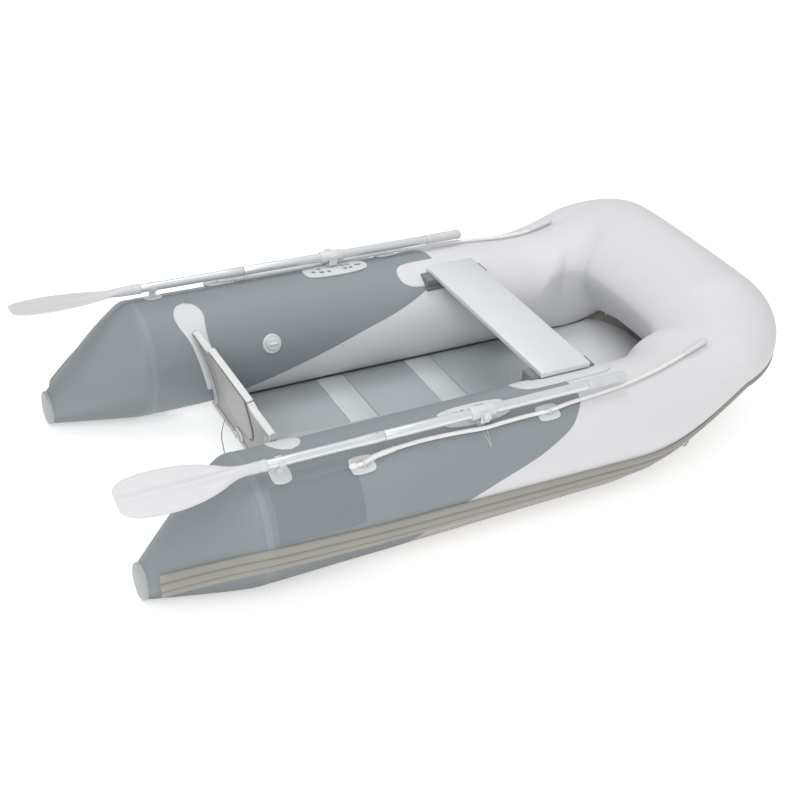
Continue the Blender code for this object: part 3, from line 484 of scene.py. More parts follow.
        # painted shade: a darker colour where the outer side of the skin turns towards the ground
        sx = N.new("ShaderNodeSeparateXYZ")
        L.new(tc.outputs["Normal"], sx.inputs["Vector"])
        ur = N.new("ShaderNodeMapRange")
        ur.interpolation_type = 'SMOOTHSTEP'
        ur.inputs["From Min"].default_value = 0.06
        ur.inputs["From Max"].default_value = -0.62
        L.new(sx.outputs["Z"], ur.inputs["Value"])
        level = N.new("ShaderNodeVectorMath")
        level.operation = 'MULTIPLY'
        level.inputs[1].default_value = (0.6, 1.0, 0.0)
        L.new(tc.outputs["Object"], level.inputs[0])
        away = N.new("ShaderNodeVectorMath")
        away.operation = 'DOT_PRODUCT'
        L.new(level.outputs["Vector"], away.inputs[0])
        L.new(tc.outputs["Normal"], away.inputs[1])
        outer = N.new("ShaderNodeMapRange")
        outer.interpolation_type = 'SMOOTHSTEP'
        outer.inputs["From Min"].default_value = -0.22
        outer.inputs["From Max"].default_value = 0.0
        L.new(away.outputs["Value"], outer.inputs["Value"])
        both = N.new("ShaderNodeMath")
        both.operation = 'MULTIPLY'
        L.new(ur.outputs["Result"], both.inputs[0])
        L.new(outer.outputs["Result"], both.inputs[1])
        um = N.new("ShaderNodeMix")
        um.data_type = 'RGBA'
        L.new(both.outputs[0], um.inputs["Factor"])
        L.new(col, um.inputs["A"])
        um.inputs["B"].default_value = (*lin(painted_shade), 1)
        col = um.outputs["Result"]
    L.new(col, p.inputs["Base Color"])
    rr = N.new("ShaderNodeMapRange")
    rr.inputs["To Min"].default_value = max(rough - rough_vary, 0.05)
    rr.inputs["To Max"].default_value = min(rough + rough_vary, 1.0)
    L.new(big.outputs["Fac"], rr.inputs["Value"])
    L.new(rr.outputs["Result"], p.inputs["Roughness"])
    b = N.new("ShaderNodeBump")
    b.inputs["Strength"].default_value = bump
    b.inputs["Distance"].default_value = depth
    L.new(height, b.inputs["Height"])
    L.new(b.outputs["Normal"], p.inputs["Normal"])
    return ma


# the second, darker colours of the dark, light and tape fabrics are painted shade for the skin's downward outer faces
M = {
    "dark": material("m_dark_fabric", "#878e92", 0.50, weave=300, bump=0.16, vary=0.035, scale=3.0, spec=0.35,
                     painted_shade="#686b6c"),
    "light": material("m_light_fabric", "#d3d3d6", 0.50, weave=300, bump=0.14, vary=0.02, scale=3.0, spec=0.35,
                      painted_shade="#908d88"),
    "panel": material("m_panel_fabric", "#7c8387", 0.46, weave=300, bump=0.14, vary=0.03, scale=4.0, spec=0.35),
    "tape": material("m_tape_fabric", "#8d9498", 0.50, weave=340, bump=0.14, vary=0.03, scale=5.0, spec=0.35,
                     painted_shade="#6a6d6e"),
    "patch": material("m_patch_fabric", "#d0d2d4", 0.52, weave=320, bump=0.14, vary=0.025, scale=8.0, spec=0.35),
    "flange": material("m_flange_fabric", "#b2b5b7", 0.52, weave=320, bump=0.14, vary=0.03, scale=8.0, spec=0.35),
    "bottom": material("m_bottom_fabric", "#878c8f", 0.58, weave=260, bump=0.2, vary=0.05, scale=4.0, spec=0.3),
    "apron": material("m_apron_fabric", "#a3a09b", 0.55, weave=260, bump=0.16, vary=0.04, scale=4.0, spec=0.3),
    "strake": material("m_strake_rubber", "#908e87", 0.55, grain=700, bump=0.20, vary=0.05, scale=7.0, wear="#aaa8a2"),
    "cap": material("m_cap_plastic", "#a6a9a9", 0.45, grain=1100, bump=0.10, vary=0.03, scale=14.0),
    "floor": material("m_floor_board", "#a6acaf", 0.46, grain=650, bump=0.25, vary=0.04, scale=5.0, wear="#b4b9bb"),
    # the forward board is paler than the slats, and its colour is raised further as painted light against the shade
    # under the bow
    "floor_fwd_painted_light": material("m_floor_board_fwd_painted_light", "#dcdee0", 0.46, grain=650, bump=0.25, vary=0.04, scale=5.0, wear="#e2e4e6"),
    "strip": material("m_strip_metal", "#c9cecf", 0.42, metal=0.15, brush=(60.0, 2600.0, 60.0), bump=0.10, vary=0.05,
                      scale=5.0),
    "transom": material("m_transom_paint", "#9a9a98", 0.45, grain=420, bump=0.16, vary=0.035, scale=6.0,
                        wear="#a8a8a6"),
    "trim": material("m_trim_plastic", "#d6d7d6", 0.45, grain=900, bump=0.12, vary=0.03, scale=10.0),
    "pad": material("m_pad_plastic", "#a9a8a6", 0.5, grain=520, bump=0.22, vary=0.03, scale=8.0),
    "edge": material("m_edge_rubber", "#85888a", 0.6, grain=700, bump=0.2, vary=0.06, scale=10.0),
    "seat": material("m_seat_metal", "#dcdee1", 0.34, metal=0.25, brush=(2200.0, 30.0, 400.0), bump=0.09, vary=0.03,
                     scale=4.0),
    "rail": material("m_rail_plastic", "#77777a", 0.55, grain=800, bump=0.2, vary=0.05, scale=10.0),
    "shaft": material("m_shaft_metal", "#dcdfe2", 0.36, metal=0.55, brush=(18.0, 1500.0, 1500.0), bump=0.06, vary=0.02,
                      scale=5.0),
    "blade": material("m_blade_plastic", "#d0d0d3", 0.42, grain=500, bump=0.10, vary=0.02, scale=7.0, coat=0.05),
    "grip": material("m_grip_plastic", "#c6c9cb", 0.52, grain=800, bump=0.22, vary=0.04, scale=20.0),
    "fitting": material("m_fitting_plastic", "#cdcfd0", 0.44, grain=900, bump=0.12, vary=0.03, scale=18.0),
    "rope": material("m_rope_fibre", "#e6e6e5", 0.78, braid=48.0, bump=0.75, depth=0.0009, vary=0.05, scale=60.0,
                     sheen=0.15, spec=0.25),
    "ring": material("m_ring_steel", "#c2c2c0", 0.22, metal=1.0, brush=(900.0, 900.0, 60.0), bump=0.04, vary=0.04,
                     scale=40.0),
    "valve": material("m_valve_plastic", "#d2d5d6", 0.42, grain=900, bump=0.12, vary=0.03, scale=18.0),
    "line": material("m_thin_cord", "#a8abad", 0.6, braid=120.0, bump=0.5, vary=0.06, scale=80.0, spec=0.3),
    "clear": material("m_clear_line", "#d9d8d0", 0.25, braid=160.0, bump=0.2, vary=0.05, scale=80.0),
    "dark_in": material("m_dark_inlay", "#7e8386", 0.6, grain=800, bump=0.2, vary=0.05, scale=12.0),
}


def put(ob, body, mat, slot, *nodes):
    ob.data.materials.clear()
    ob.data.materials.append(M[mat])
    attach(ob, body)
    if nodes:
        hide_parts(*nodes)
    return ob


# ------------------------------------------------------------------ cords
ROPE_R = 0.0068
ROPE_ROWS = [(-0.560, 61.5, 0.0100), (-0.527, 62.0, 0.0100), (-0.48, 65.5, 0.0096), (-0.40, 68.0, 0.0085),
             (-0.30, 68.6, 0.0085), (-0.19, 67.0, 0.0085), (-0.12, 65.6, 0.0088), (-0.05, 66.2, 0.0085),
             (0.03, 66.5, 0.0090), (0.070, 66.1, 0.0104), (0.110, 66.0, 0.0105), (0.150, 67.2, 0.0103),
             (0.20, 68.7, 0.0086), (0.34, 71.2, 0.0085), (0.45, 74.6, 0.0085), (0.56, 80.0, 0.0088),
             (0.64, 84.0, 0.0090), (0.690, 86.0, 0.0095)]


def plait(r):
    def f(d, a):
        k = 2 * math.pi * d / 0.022
        return r * (0.955 + 0.045 * math.sin(4 * a + k * 2) * math.sin(4 * a - k * 2))
    return f


rope_lines = {}
for side, tag in SIDES:
    raw = line([skin(s, D2R(p), o + 0.0006, side) for s, p, o in ROPE_ROWS], 8)
    pts, length = resample(raw, 0.0030)
    rope_lines[tag] = pts
    rope = put(tube("rope_" + tag, pts, plait(ROPE_R), 28), "hull", "rope", "rope_fibre", "lifeline_" + tag)
    # whipping wound round the rope ahead of its aft eye
    wound = []
    for i in range(6 * 14, 6 * 42):
        a, f = pts[i // 6], (i % 6) / 6
        c = a.lerp(pts[i // 6 + 1], f)
        ex, ey, _ = basis((pts[i // 6 + 2] - pts[i // 6 - 1]).normalized(), (0, 0, 1))
        ang = 2 * math.pi * (i - 84) / 6 * 0.003 / 0.016
        wound.append(c + (Vector(ex) * math.cos(ang) + Vector(ey) * math.sin(ang)) * 0.0058)
    whip = put(tube("rope_whipping_" + tag, wound, 0.0026, 12), "hull", "rope", "rope_fibre")

# thin lanyard hanging from the foot of the transom to the ground
lan = line([(-0.5808, 0.2050, 0.0440), (-0.5843, 0.2040, 0.0330), (-0.5893, 0.2010, 0.0190), (-0.5958, 0.1930, 0.0080),
            (-0.6028, 0.1800, 0.0030), (-0.6103, 0.1600, 0.0022), (-0.6178, 0.1330, 0.0022), (-0.6268, 0.1020, 0.0022),
            (-0.6328, 0.0700, 0.0022), (-0.6313, 0.0400, 0.0022), (-0.6228, 0.0120, 0.0022)], 10)
pts, length = resample(lan, 0.003)
lanyard = put(tube("drain_lanyard", pts, 0.0016, 10), "hull", "line", "rope_fibre")
knot = put(lathe("drain_lanyard_knot", [(0, -0.0045), (0.0022, -0.0040), (0.0038, -0.002), (0.0036, 0.0008), (0.0022, 0.003),
                                        (0.0016, 0.0045), (0, 0.0045)], pts[-1] + Vector((0, 0, 0.0016)),
                 pts[-1] - pts[-2], 16), "hull", "line", "rope_fibre")

# ------------------------------------------------------------------ side tubes and bow
SPLIT = [(-0.860, -0.02), (-0.5225, 0.10), (-0.337, 0.167), (-0.100, 0.2455), (0.0375, 0.282), (0.1265, 0.312),
         (0.1735, 0.329), (0.2135, 0.354), (0.2465, 0.372), (0.2525, 0.42)]


def split_raw(z):
    for (xa, za), (xb, zb) in zip(SPLIT, SPLIT[1:]):
        if z <= zb:
            return xa + (xb - xa) * (z - za) / (zb - za)
    return SPLIT[-1][0]


def split_x(phi):
    """Where the dark fabric ends, round the tube."""
    d = math.degrees(phi) % 360.0
    z = TUBE_R * (1 + math.sin(phi))
    x = sum(split_raw(z + 0.0025 * k) for k in range(-3, 4)) / 7
    if d > 270.0:
        low = d - 360.0
        pts = [(-90, -0.804), (-70, -0.66), (-50, -0.47), (-30, -0.375), (-15, -0.330), (-7, -0.330), (0, -0.28)]
        for (pa, xa), (pb, xb) in zip(pts, pts[1:]):
            if pa <= low <= pb:
                y = xa + (xb - xa) * (low - pa) / (pb - pa)
                return max(x, y)
    return x


NPHI = 112
PHIS = [2 * math.pi * k / NPHI for k in range(NPHI)]
CONE = [X_CAP + (X_CONE - 0.0 - X_CAP) * k / 26 for k in range(26)] + [X_CONE + 0.015 * k / 5 for k in range(6)]
for side, tag in SIDES:
    rows, uv = [], []
    for s in CONE:
        rows.append([skin(s, p, 0.0003 + crease(s, p), side) for p in PHIS])
        uv.append([(s, p * TUBE_R) for p in PHIS])
    for k in range(1, 71):
        f = k / 70
        ss = [(-0.84 + (split_x(p) + 0.84) * f) for p in PHIS]
        rows.append([skin(s, p, 0.0003 + crease(s, p), side) for s, p in zip(ss, PHIS)])
        uv.append([(s, p * TUBE_R) for s, p in zip(ss, PHIS)])
    ss = [split_x(p) + 0.0004 for p in PHIS]
    rows.append([skin(s, p, -0.0012 + crease(s, p), side) for s, p in zip(ss, PHIS)])
    uv.append([(s, p * TUBE_R) for s, p in zip(ss, PHIS)])
    put(grid("dark_skin_" + tag, rows, True, False, uv, 40), "hull", "dark", "dark_fabric", "stern_tube_" + tag)

rows, uv = [], []
TURN = [X_ROW + (X_TURN - 0.16 - X_ROW) * k / 24 for k in range(1, 25)] + \
       [X_TURN - 0.16 + (S_TURN + 0.12 - X_TURN + 0.16) * k / 70 for k in range(1, 71)] + \
       [S_TURN + 0.12 + (S_MID - S_TURN - 0.12) * k / 12 for k in range(1, 13)]
half_rows, half_uv = [], []
for k in range(0, 61):
    f = k / 60
    ss = [(split_x(p) - 0.006) + (X_ROW - split_x(p) + 0.006) * f for p in PHIS]
    half_rows.append([skin(s, p, -0.0005 + crease(s, p)) for s, p in zip(ss, PHIS)])
    half_uv.append([(s, p * TUBE_R) for s, p in zip(ss, PHIS)])
for s in TURN:
    half_rows.append([skin(s, p, -0.0005 + crease(s, p)) for p in PHIS])
    half_uv.append([(s, p * TUBE_R) for p in PHIS])
mirror = [[Vector((p.x, -p.y, p.z)) for p in r] for r in half_rows[:-1]][::-1]
m_uv = [[(2 * S_MID - u, v) for u, v in r] for r in half_uv[:-1]][::-1]
put(grid("light_skin", half_rows + mirror, True, False, half_uv + m_uv, 40), "hull", "light", "light_fabric", "bow_tube")

for side, tag in SIDES:
    # seam tape round the cone joint and the bare darker panel aft on the outer side
    rows = [[skin(s, p, o + crease(s, p), side) for p in PHIS] for s, o in
            ((-0.8510, 0.0001), (-0.8505, 0.0008), (-0.844, 0.0009), (-0.838, 0.0009), (-0.8305, 0.0008), (-0.8300, 0.0001))]
    uvr = [[(s, p * TUBE_R) for p in PHIS] for s in (-0.851, -0.850, -0.844, -0.838, -0.831, -0.830)]
    put(grid("cone_tape_" + tag, rows, True, False, uvr, 40), "hull", "tape", "dark_fabric")
    put(sheet_on("side_panel_" + tag, side, lambda f: (-0.812 + 0.262 * f, 14.5 - 1.5 * f, 62.0), 0.0002, 0.0014, 30, 22),
        "hull", "panel", "dark_fabric")
    # end cap with a rolled rim and a shallow dome
    c = section(X_CAP)[0]
    put(lathe("cone_cap_" + tag, [(0.030, -0.002), (CAP_R + 0.0005, -0.002), (CAP_R + 0.0022, 0.0010),
                                  (CAP_R + 0.0022, 0.0065), (CAP_R + 0.0006, 0.0095), (CAP_R - 0.0035, 0.0113),
                                  (CAP_R - 0.0065, 0.0112), (CAP_R * 0.8, 0.0125), (CAP_R * 0.6, 0.0142),
                                  (CAP_R * 0.35, 0.0154), (CAP_R * 0.12, 0.0159), (0, 0.0160)],
              (X_CAP - 0.0006 + BX, side * TUBE_Y, c.z), (-1, 0, 0), 64, 50), "hull", "cap", "cap_plastic", "end_cap_" + tag)


# ------------------------------------------------------------------ rubbing strake
def strake_phi(s):
    pts = [(-1.14, 9.0), (-0.98, 6.0), (-0.80, 1.5), (-0.45, -4.0), (0.24, -9.0), (0.6, -13.0), (X_TURN, -15.5), (S_TURN, -27.0),
           (S_MID, -27.0)]
    for (a, fa), (b, fb) in zip(pts, pts[1:]):
        if s <= b:
            return D2R(fa + (fb - fa) * max(0.0, (s - a)) / (b - a))
    return D2R(pts[-1][1])


RIBS = [(-1.0, 0.0010), (-0.985, 0.0075), (-0.95, 0.0100), (-0.88, 0.0110), (-0.60, 0.0118), (-0.48, 0.0114),
        (-0.42, 0.0098), (-0.385, 0.0084), (-0.345, 0.0084), (-0.31, 0.0102), (-0.26, 0.0126), (-0.19, 0.0136),
        (0.0, 0.0139), (0.19, 0.0136), (0.26, 0.0126), (0.31, 0.0102), (0.345, 0.0084), (0.385, 0.0084), (0.42, 0.0098),
        (0.48, 0.0114), (0.60, 0.0118), (0.88, 0.0110), (0.95, 0.0100), (0.985, 0.0075), (1.0, 0.0010),
        (0.5, 0.0004), (0.0, 0.0004), (-0.5, 0.0004)]
SP = [X_CAP + 0.032 + (X_CONE - X_CAP - 0.060) * k / 14 for k in range(14)] + \
     [X_CONE + (X_ROW - X_CONE) * k / 40 for k in range(40)] + \
     [X_ROW + (X_TURN - X_ROW) * k / 24 for k in range(24)] + \
     [X_TURN + (S_TURN - X_TURN) * k / 24 for k in range(24)] + \
     [S_TURN + HALF_STRAIGHT * k / 16 for k in range(17)]


def strake_ring(s):
    a, up = section(s)[2:4]
    mid = sum(strake_phi(clip(s + 0.03 * k, X_CAP, S_MID)) for k in range(-3, 4)) / 7
    half = 0.034 / (0.5 * (a + up))
    return [skin(s, mid + u * half, h) for u, h in RIBS], [(s, u * 0.034) for u, h in RIBS]


rr = [strake_ring(s) for s in SP]
srows, suv = [r[0] for r in rr], [r[1] for r in rr]
srows += [[Vector((p.x, -p.y, p.z)) for p in r] for r in srows[:-1]][::-1]
suv += [[(2 * S_MID - u, v) for u, v in r] for r in suv[:-1]][::-1]
put(grid("strake_moulding", srows, True, True, suv, 38), "hull", "strake", "strake_rubber", "rubbing_strake")

# ------------------------------------------------------------------ bottom sheet and floor
BOT = {}
for v in NODES["hull_bottom"].data.vertices:
    x, (w, z) = round(v.co.x, 3), BOT.get(round(v.co.x, 3), (0.0, 1.0))
    BOT[x] = (max(w, v.co.y), min(z, v.co.z))
BOT = sorted((x, w, z) for x, (w, z) in BOT.items())


def bot_at(x):
    for (a, wa, za), (b, wb, zb) in zip(BOT, BOT[1:]):
        if x <= b:
            f = (x - a) / (b - a)
            return wa + (wb - wa) * f, za + (zb - za) * f
    return BOT[-1][1:]


NB = 40
top, low, uvt = [], [], []
B0, B1 = BOT[0][0], BOT[-1][0]
bx = [B0 + (B1 - B0) * k / 90 for k in range(91)]
for i, x in enumerate(bx):
    w, z = bot_at(x)
    w += 0.017 * ease((0.70 - x) / 0.10) + 0.003
    r0, r1, ru = [], [], []
    for k in range(NB + 1):
        y = -w + 2 * w * k / NB
        pull = 0.0012 * math.cos(2 * math.pi * (x - BX + 0.134) / 0.352) * (1 - (y / w) ** 2)
        zz = z + 0.0019 + pull + 0.0003 * math.sin(41 * y + 9 * x)
        r0.append(Vector((x, y, zz + 0.0008)))
        r1.append(Vector((x, y, zz - 0.0008)))
        ru.append((x, y))
    top.append(r0 + r1[::-1])
    uvt.append(ru + ru[::-1])
bottom = put(grid("bottom_sheet", top, True, True, uvt, 40), "hull", "bottom", "bottom_fabric", "hull_bottom")

# the forward board takes its own paler colour, raised as painted light against the shade under the bow
for n in ("floor_slat_1", "floor_slat_2", "floor_slat_3", "floor_slat_forward"):
    put(refined(n, n.replace("slat", "board"), 0.0022, 3), "hull", "floor_fwd_painted_light" if n.endswith("forward") else "floor",
        "floor_board", n)
for n in ("floor_strip_1", "floor_strip_2"):
    put(refined(n, n.replace("strip", "batten"), 0.0006, 2), "hull", "strip", "strip_metal", n)
put(refined("bow_apron", "bow_apron_panel", 0.0008, 2), "hull", "apron", "bottom_fabric", "bow_apron")
# corner gussets that carry the apron round to the tube
for side, tag in SIDES:
    prof = line([Vector((x, 0, z)) for x, z in ((0.9950, 0.0650), (1.0200, 0.0720), (1.0350, 0.0880), (1.0430, 0.1120),
                                                (1.0440, 0.1500))], 5)
    rings, guv = [], []
    for k in range(13):
        y = 0.240 + 0.070 * k / 12
        aft = 0.045 * (y / 0.262) ** 3
        outer_, inner_ = [], []
        for i, q in enumerate(prof):
            run = (prof[min(i + 1, len(prof) - 1)] - prof[max(i - 1, 0)]).normalized()
            for lst, o in ((outer_, 0.0045), (inner_, 0.0060)):
                lst.append(Vector((q.x - aft - run.z * o, side * y, q.z + run.x * o)))
        rings.append((outer_ + inner_[::-1]) if side < 0 else (outer_ + inner_[::-1])[::-1])
        guv.append([(y, v.z) for v in rings[-1]])
    put(grid("bow_gusset_" + tag, rings, True, True, guv, 40), "hull", "apron", "bottom_fabric")

# ------------------------------------------------------------------ transom
RAKE = D2R(15.0)
UPV = Vector((-math.sin(RAKE), 0, math.cos(RAKE)))
AFTV = Vector((-math.cos(RAKE), 0, -math.sin(RAKE)))
TR_O = Vector((-0.700 + BX, 0, 0.335))


def on_board(y, z, depth):
    """Point of the transom: height z on its aft face, depth out of that face."""
    return TR_O + UPV * ((z - 0.335) / math.cos(RAKE)) + Vector((0, y, 0)) + AFTV * depth


put(refined("transom_board", "transom_panel", 0.003, 3), "hull", "transom", "transom_paint", "transom_board")
put(refined("transom_top_trim", "transom_cap_strip", 0.0025, 3), "hull", "trim", "trim_plastic", "transom_top_trim")
EDGE = [(0.2985, 0.3335), (0.2900, 0.3452), (0.2720, 0.3458), (0.1760, 0.3458), (0.1690, 0.3475), (0.1515, 0.3612)]
for side, tag in SIDES:
    band, buv = [], []
    run = 0.0
    for i, (y, z) in enumerate(EDGE):
        if i:
            run += math.hypot(y - EDGE[i - 1][0], z - EDGE[i - 1][1])
        a, b = EDGE[max(i - 1, 0)], EDGE[min(i + 1, len(EDGE) - 1)]
        ty, tz = b[0] - a[0], b[1] - a[1]
        ln = math.hypot(ty, tz)
        ny, nz = -tz / ln, ty / ln
        if nz < 0:
            ny, nz = -ny, -nz
        ring = [(-0.0194, -0.004), (-0.0194, 0.0008), (-0.0180, 0.0018), (-0.0090, 0.0022), (0.0, 0.0018), (0.0014, 0.0008),
                (0.0014, -0.004), (0.0003, -0.004), (0.0003, 0.0004), (-0.0183, 0.0004), (-0.0183, -0.004)]
        band.append([on_board(side * (y + ny * h), z + nz * h, d) for d, h in ring])
        buv.append([(run, d) for d, h in ring])
    put(grid("transom_edging_" + tag, band, True, True, buv, 45), "hull", "trim", "trim_plastic")
put(refined("motor_pad_aft", "motor_plate_aft", 0.0012, 2), "hull", "pad", "trim_plastic", "motor_pad_aft")
put(refined("motor_pad_forward", "motor_plate_forward", 0.0012, 2), "hull", "pad", "trim_plastic", "motor_pad_forward")
put(refined("transom_flange", "transom_flange_strip", 0.0006, 2), "hull", "flange", "patch_fabric", "transom_flange")
PADL = [(0.1285, 0.3575), (0.1285, 0.290), (0.1205, 0.2335), (0.1000, 0.1880), (0.0672, 0.1575), (0.0, 0.1450),
        (-0.0672, 0.1575), (-0.1000, 0.1880), (-0.1205, 0.2335), (-0.1285, 0.290), (-0.1285, 0.3575)]
bead, _ = resample(line([on_board(y, z, 0.0022) for y, z in PADL], 6), 0.006)
put(tube("motor_plate_bead", bead, lambda d, a: 0.0015 + 0.0001 * math.sin(a * 2), 10), "hull", "edge", "trim_plastic")
put(refined("drain_socket", "drain_seat", 0.0008, 2), "hull", "trim", "trim_plastic", "drain_socket")
put(refined("drain_plug", "drain_bung", 0.0012, 3), "plug", "fitting", "fitting_plastic", "drain_plug")


def tr_x(z, depth):
    return on_board(0, z, depth).x - BX


for side, tag in SIDES:
    # fabric tongue over the tube, both sides of the board, narrowing down the tube's inner face
    def tongue(f, side=side):
        ph = 97.0 + 98.0 * f
        z = TUBE_R * (1 + math.sin(D2R(ph)))
        w = 0.047 * math.sqrt(clip(1 - (1 - clip(f / 0.20)) ** 2)) * (1 - 0.42 * ease((f - 0.16) / 0.35)) + 0.0015
        mid = tr_x(min(z, 0.345), -0.0125)
        return ph, mid - w, mid + w
    vs, fs, us = [], [], []
    R_, C_ = 44, 12
    for layer in (0, 1):
        for i in range(R_ + 1):
            ph, a, b = tongue(i / R_)
            for k in range(C_ + 1):
                s = a + (b - a) * k / C_
                e = i in (0, R_) or k in (0, C_)
                o = 0.0004 if layer else (0.0012 if e else 0.0022)
                vs.append(skin(s, D2R(ph), o, side))
                us.append((s, D2R(ph) * TUBE_R))
    h, q = (R_ + 1) * (C_ + 1), C_ + 1
    for i in range(R_):
        for k in range(C_):
            a = i * q + k
            fs.append((a, a + 1, a + q + 1, a + q))
            fs.append((h + a, h + a + q, h + a + q + 1, h + a + 1))
    rim = [(0, k) for k in range(C_)] + [(i, C_) for i in range(R_)] + [(R_, k) for k in range(C_, 0, -1)] + \
          [(i, 0) for i in range(R_, 0, -1)]
    for (i, k), (j, l) in zip(rim, rim[1:] + rim[:1]):
        fs.append((i * q + k, h + i * q + k, h + j * q + l, j * q + l))
    put(new_piece("transom_tongue_" + tag, vs, fs, us, 50), "hull", "patch", "patch_fabric", "transom_patch_" + tag)

# starboard: pale strip along the tube's inner shoulder, lying on the skin at its outer edge and lifting at the other;
# the strip is painted highlight, a pale sheet standing in for the highlight along the tube's inner edge
rings, guv = [], []
for i in range(49):
    f = i / 48
    s = -0.662 + 0.312 * f
    a0 = 119.0 + 4.0 * f
    rise = math.sqrt(ease(f / 0.07)) * math.sqrt(1 - f ** 3)
    upper, lower = [], []
    for k in range(11):
        ph = D2R(a0 + (1.0 + 15.0 * rise) * k / 10)
        o = 0.0006 + 0.0100 * rise * (1 - f) * (k / 10) ** 1.4
        upper.append(skin(s, ph, o + 0.0014, -1))
        lower.append(skin(s, ph, o, -1))
    rings.append(upper + lower[::-1])
    guv.append([(s, k * 0.006) for k in range(22)])
put(grid("highlight_strip_starboard", rings, True, True, guv, 50), "hull", "flange", "patch_fabric")

# ------------------------------------------------------------------ seat
put(refined("seat_board", "seat_plank", 0.0035, 4), "seat", "seat", "seat_metal", "seat_board")
for side, tag in SIDES:
    put(sheet_on("seat_tab_" + tag, side, lambda f: (0.080 + 0.368 * (0.5 - 0.5 * math.cos(math.pi * f)),
                 113.5 - 16.5 * clip(1 - abs(2 * (0.5 - 0.5 * math.cos(math.pi * f)) - 1) ** 7) ** 0.5,
                 113.5 + 16.5 * clip(1 - abs(2 * (0.5 - 0.5 * math.cos(math.pi * f)) - 1) ** 7) ** 0.5), 0.0006, 0.0026, 36, 14),
        "hull", "patch", "patch_fabric", "seat_patch_" + tag)
    groove = block("g", (0.10, side * 0.290, 0.338), (0.50, side * 0.2995, 0.346))
    put(refined("seat_rail_" + tag, "seat_bearer_" + tag, 0.0015, 2, 30, [groove]), "hull", "rail", "rail_plastic",
        "seat_rail_" + tag)

# ------------------------------------------------------------------ oars
BLADE = [(-0.8365, 0.0320, 0.0320), (-0.870, 0.0330, 0.0300), (-0.905, 0.0520, 0.0240), (-0.945, 0.0900, 0.0190),
         (-0.990, 0.1220, 0.0150), (-1.040, 0.1420, 0.0125), (-1.090, 0.1500, 0.0105), (-1.135, 0.1470, 0.0092),
         (-1.174, 0.1340, 0.0082), (-1.199, 0.1120, 0.0074), (-1.211, 0.0880, 0.0066), (-1.2162, 0.0640, 0.0058)]
TILT = D2R(12.0)


def spline(rows, per):
    out = line([Vector(r) for r in rows], per)
    return [tuple(v) for v in out]


def blade_ring(x, w, h, side):
    c, s_ = math.cos(TILT), math.sin(TILT)
    out = []
    n = 56
    flat = ease((-0.862 - x) / 0.13)
    for k in range(n):
        a = 2 * math.pi * k / n
        u, v = 0.5 * w * math.cos(a), 0.5 * h * math.sin(a)
        rib = math.exp(-(abs(u) / 0.0105) ** 2.6)
        thin = 0.0050 + 0.62 * h * rib + 0.0012 * ease((abs(u) - 0.42 * w) / (0.06 * w))
        edge = abs(math.cos(a))
        vf = math.copysign(0.5 * thin * math.sqrt(max(1 - edge ** 10, 0.0)), math.sin(a)) if abs(math.sin(a)) > 1e-6 else 0.0
        v = v * (1 - flat) + vf * flat
        out.append(Vector((x + BX, side * (OAR_Y + u * c + v * s_), OAR_Z - u * s_ + v * c)))
    return out


def ring_ridge(r0, r1, x0, x1, n):
    """Turned profile with n soft grip rings between x0 and x1."""
    out = []
    for k in range(n * 8 + 1):
        f = k / (n * 8)
        out.append((r0 + (r1 - r0) * (0.5 - 0.5 * math.cos(2 * math.pi * n * f)), x0 + (x1 - x0) * f))
    return out


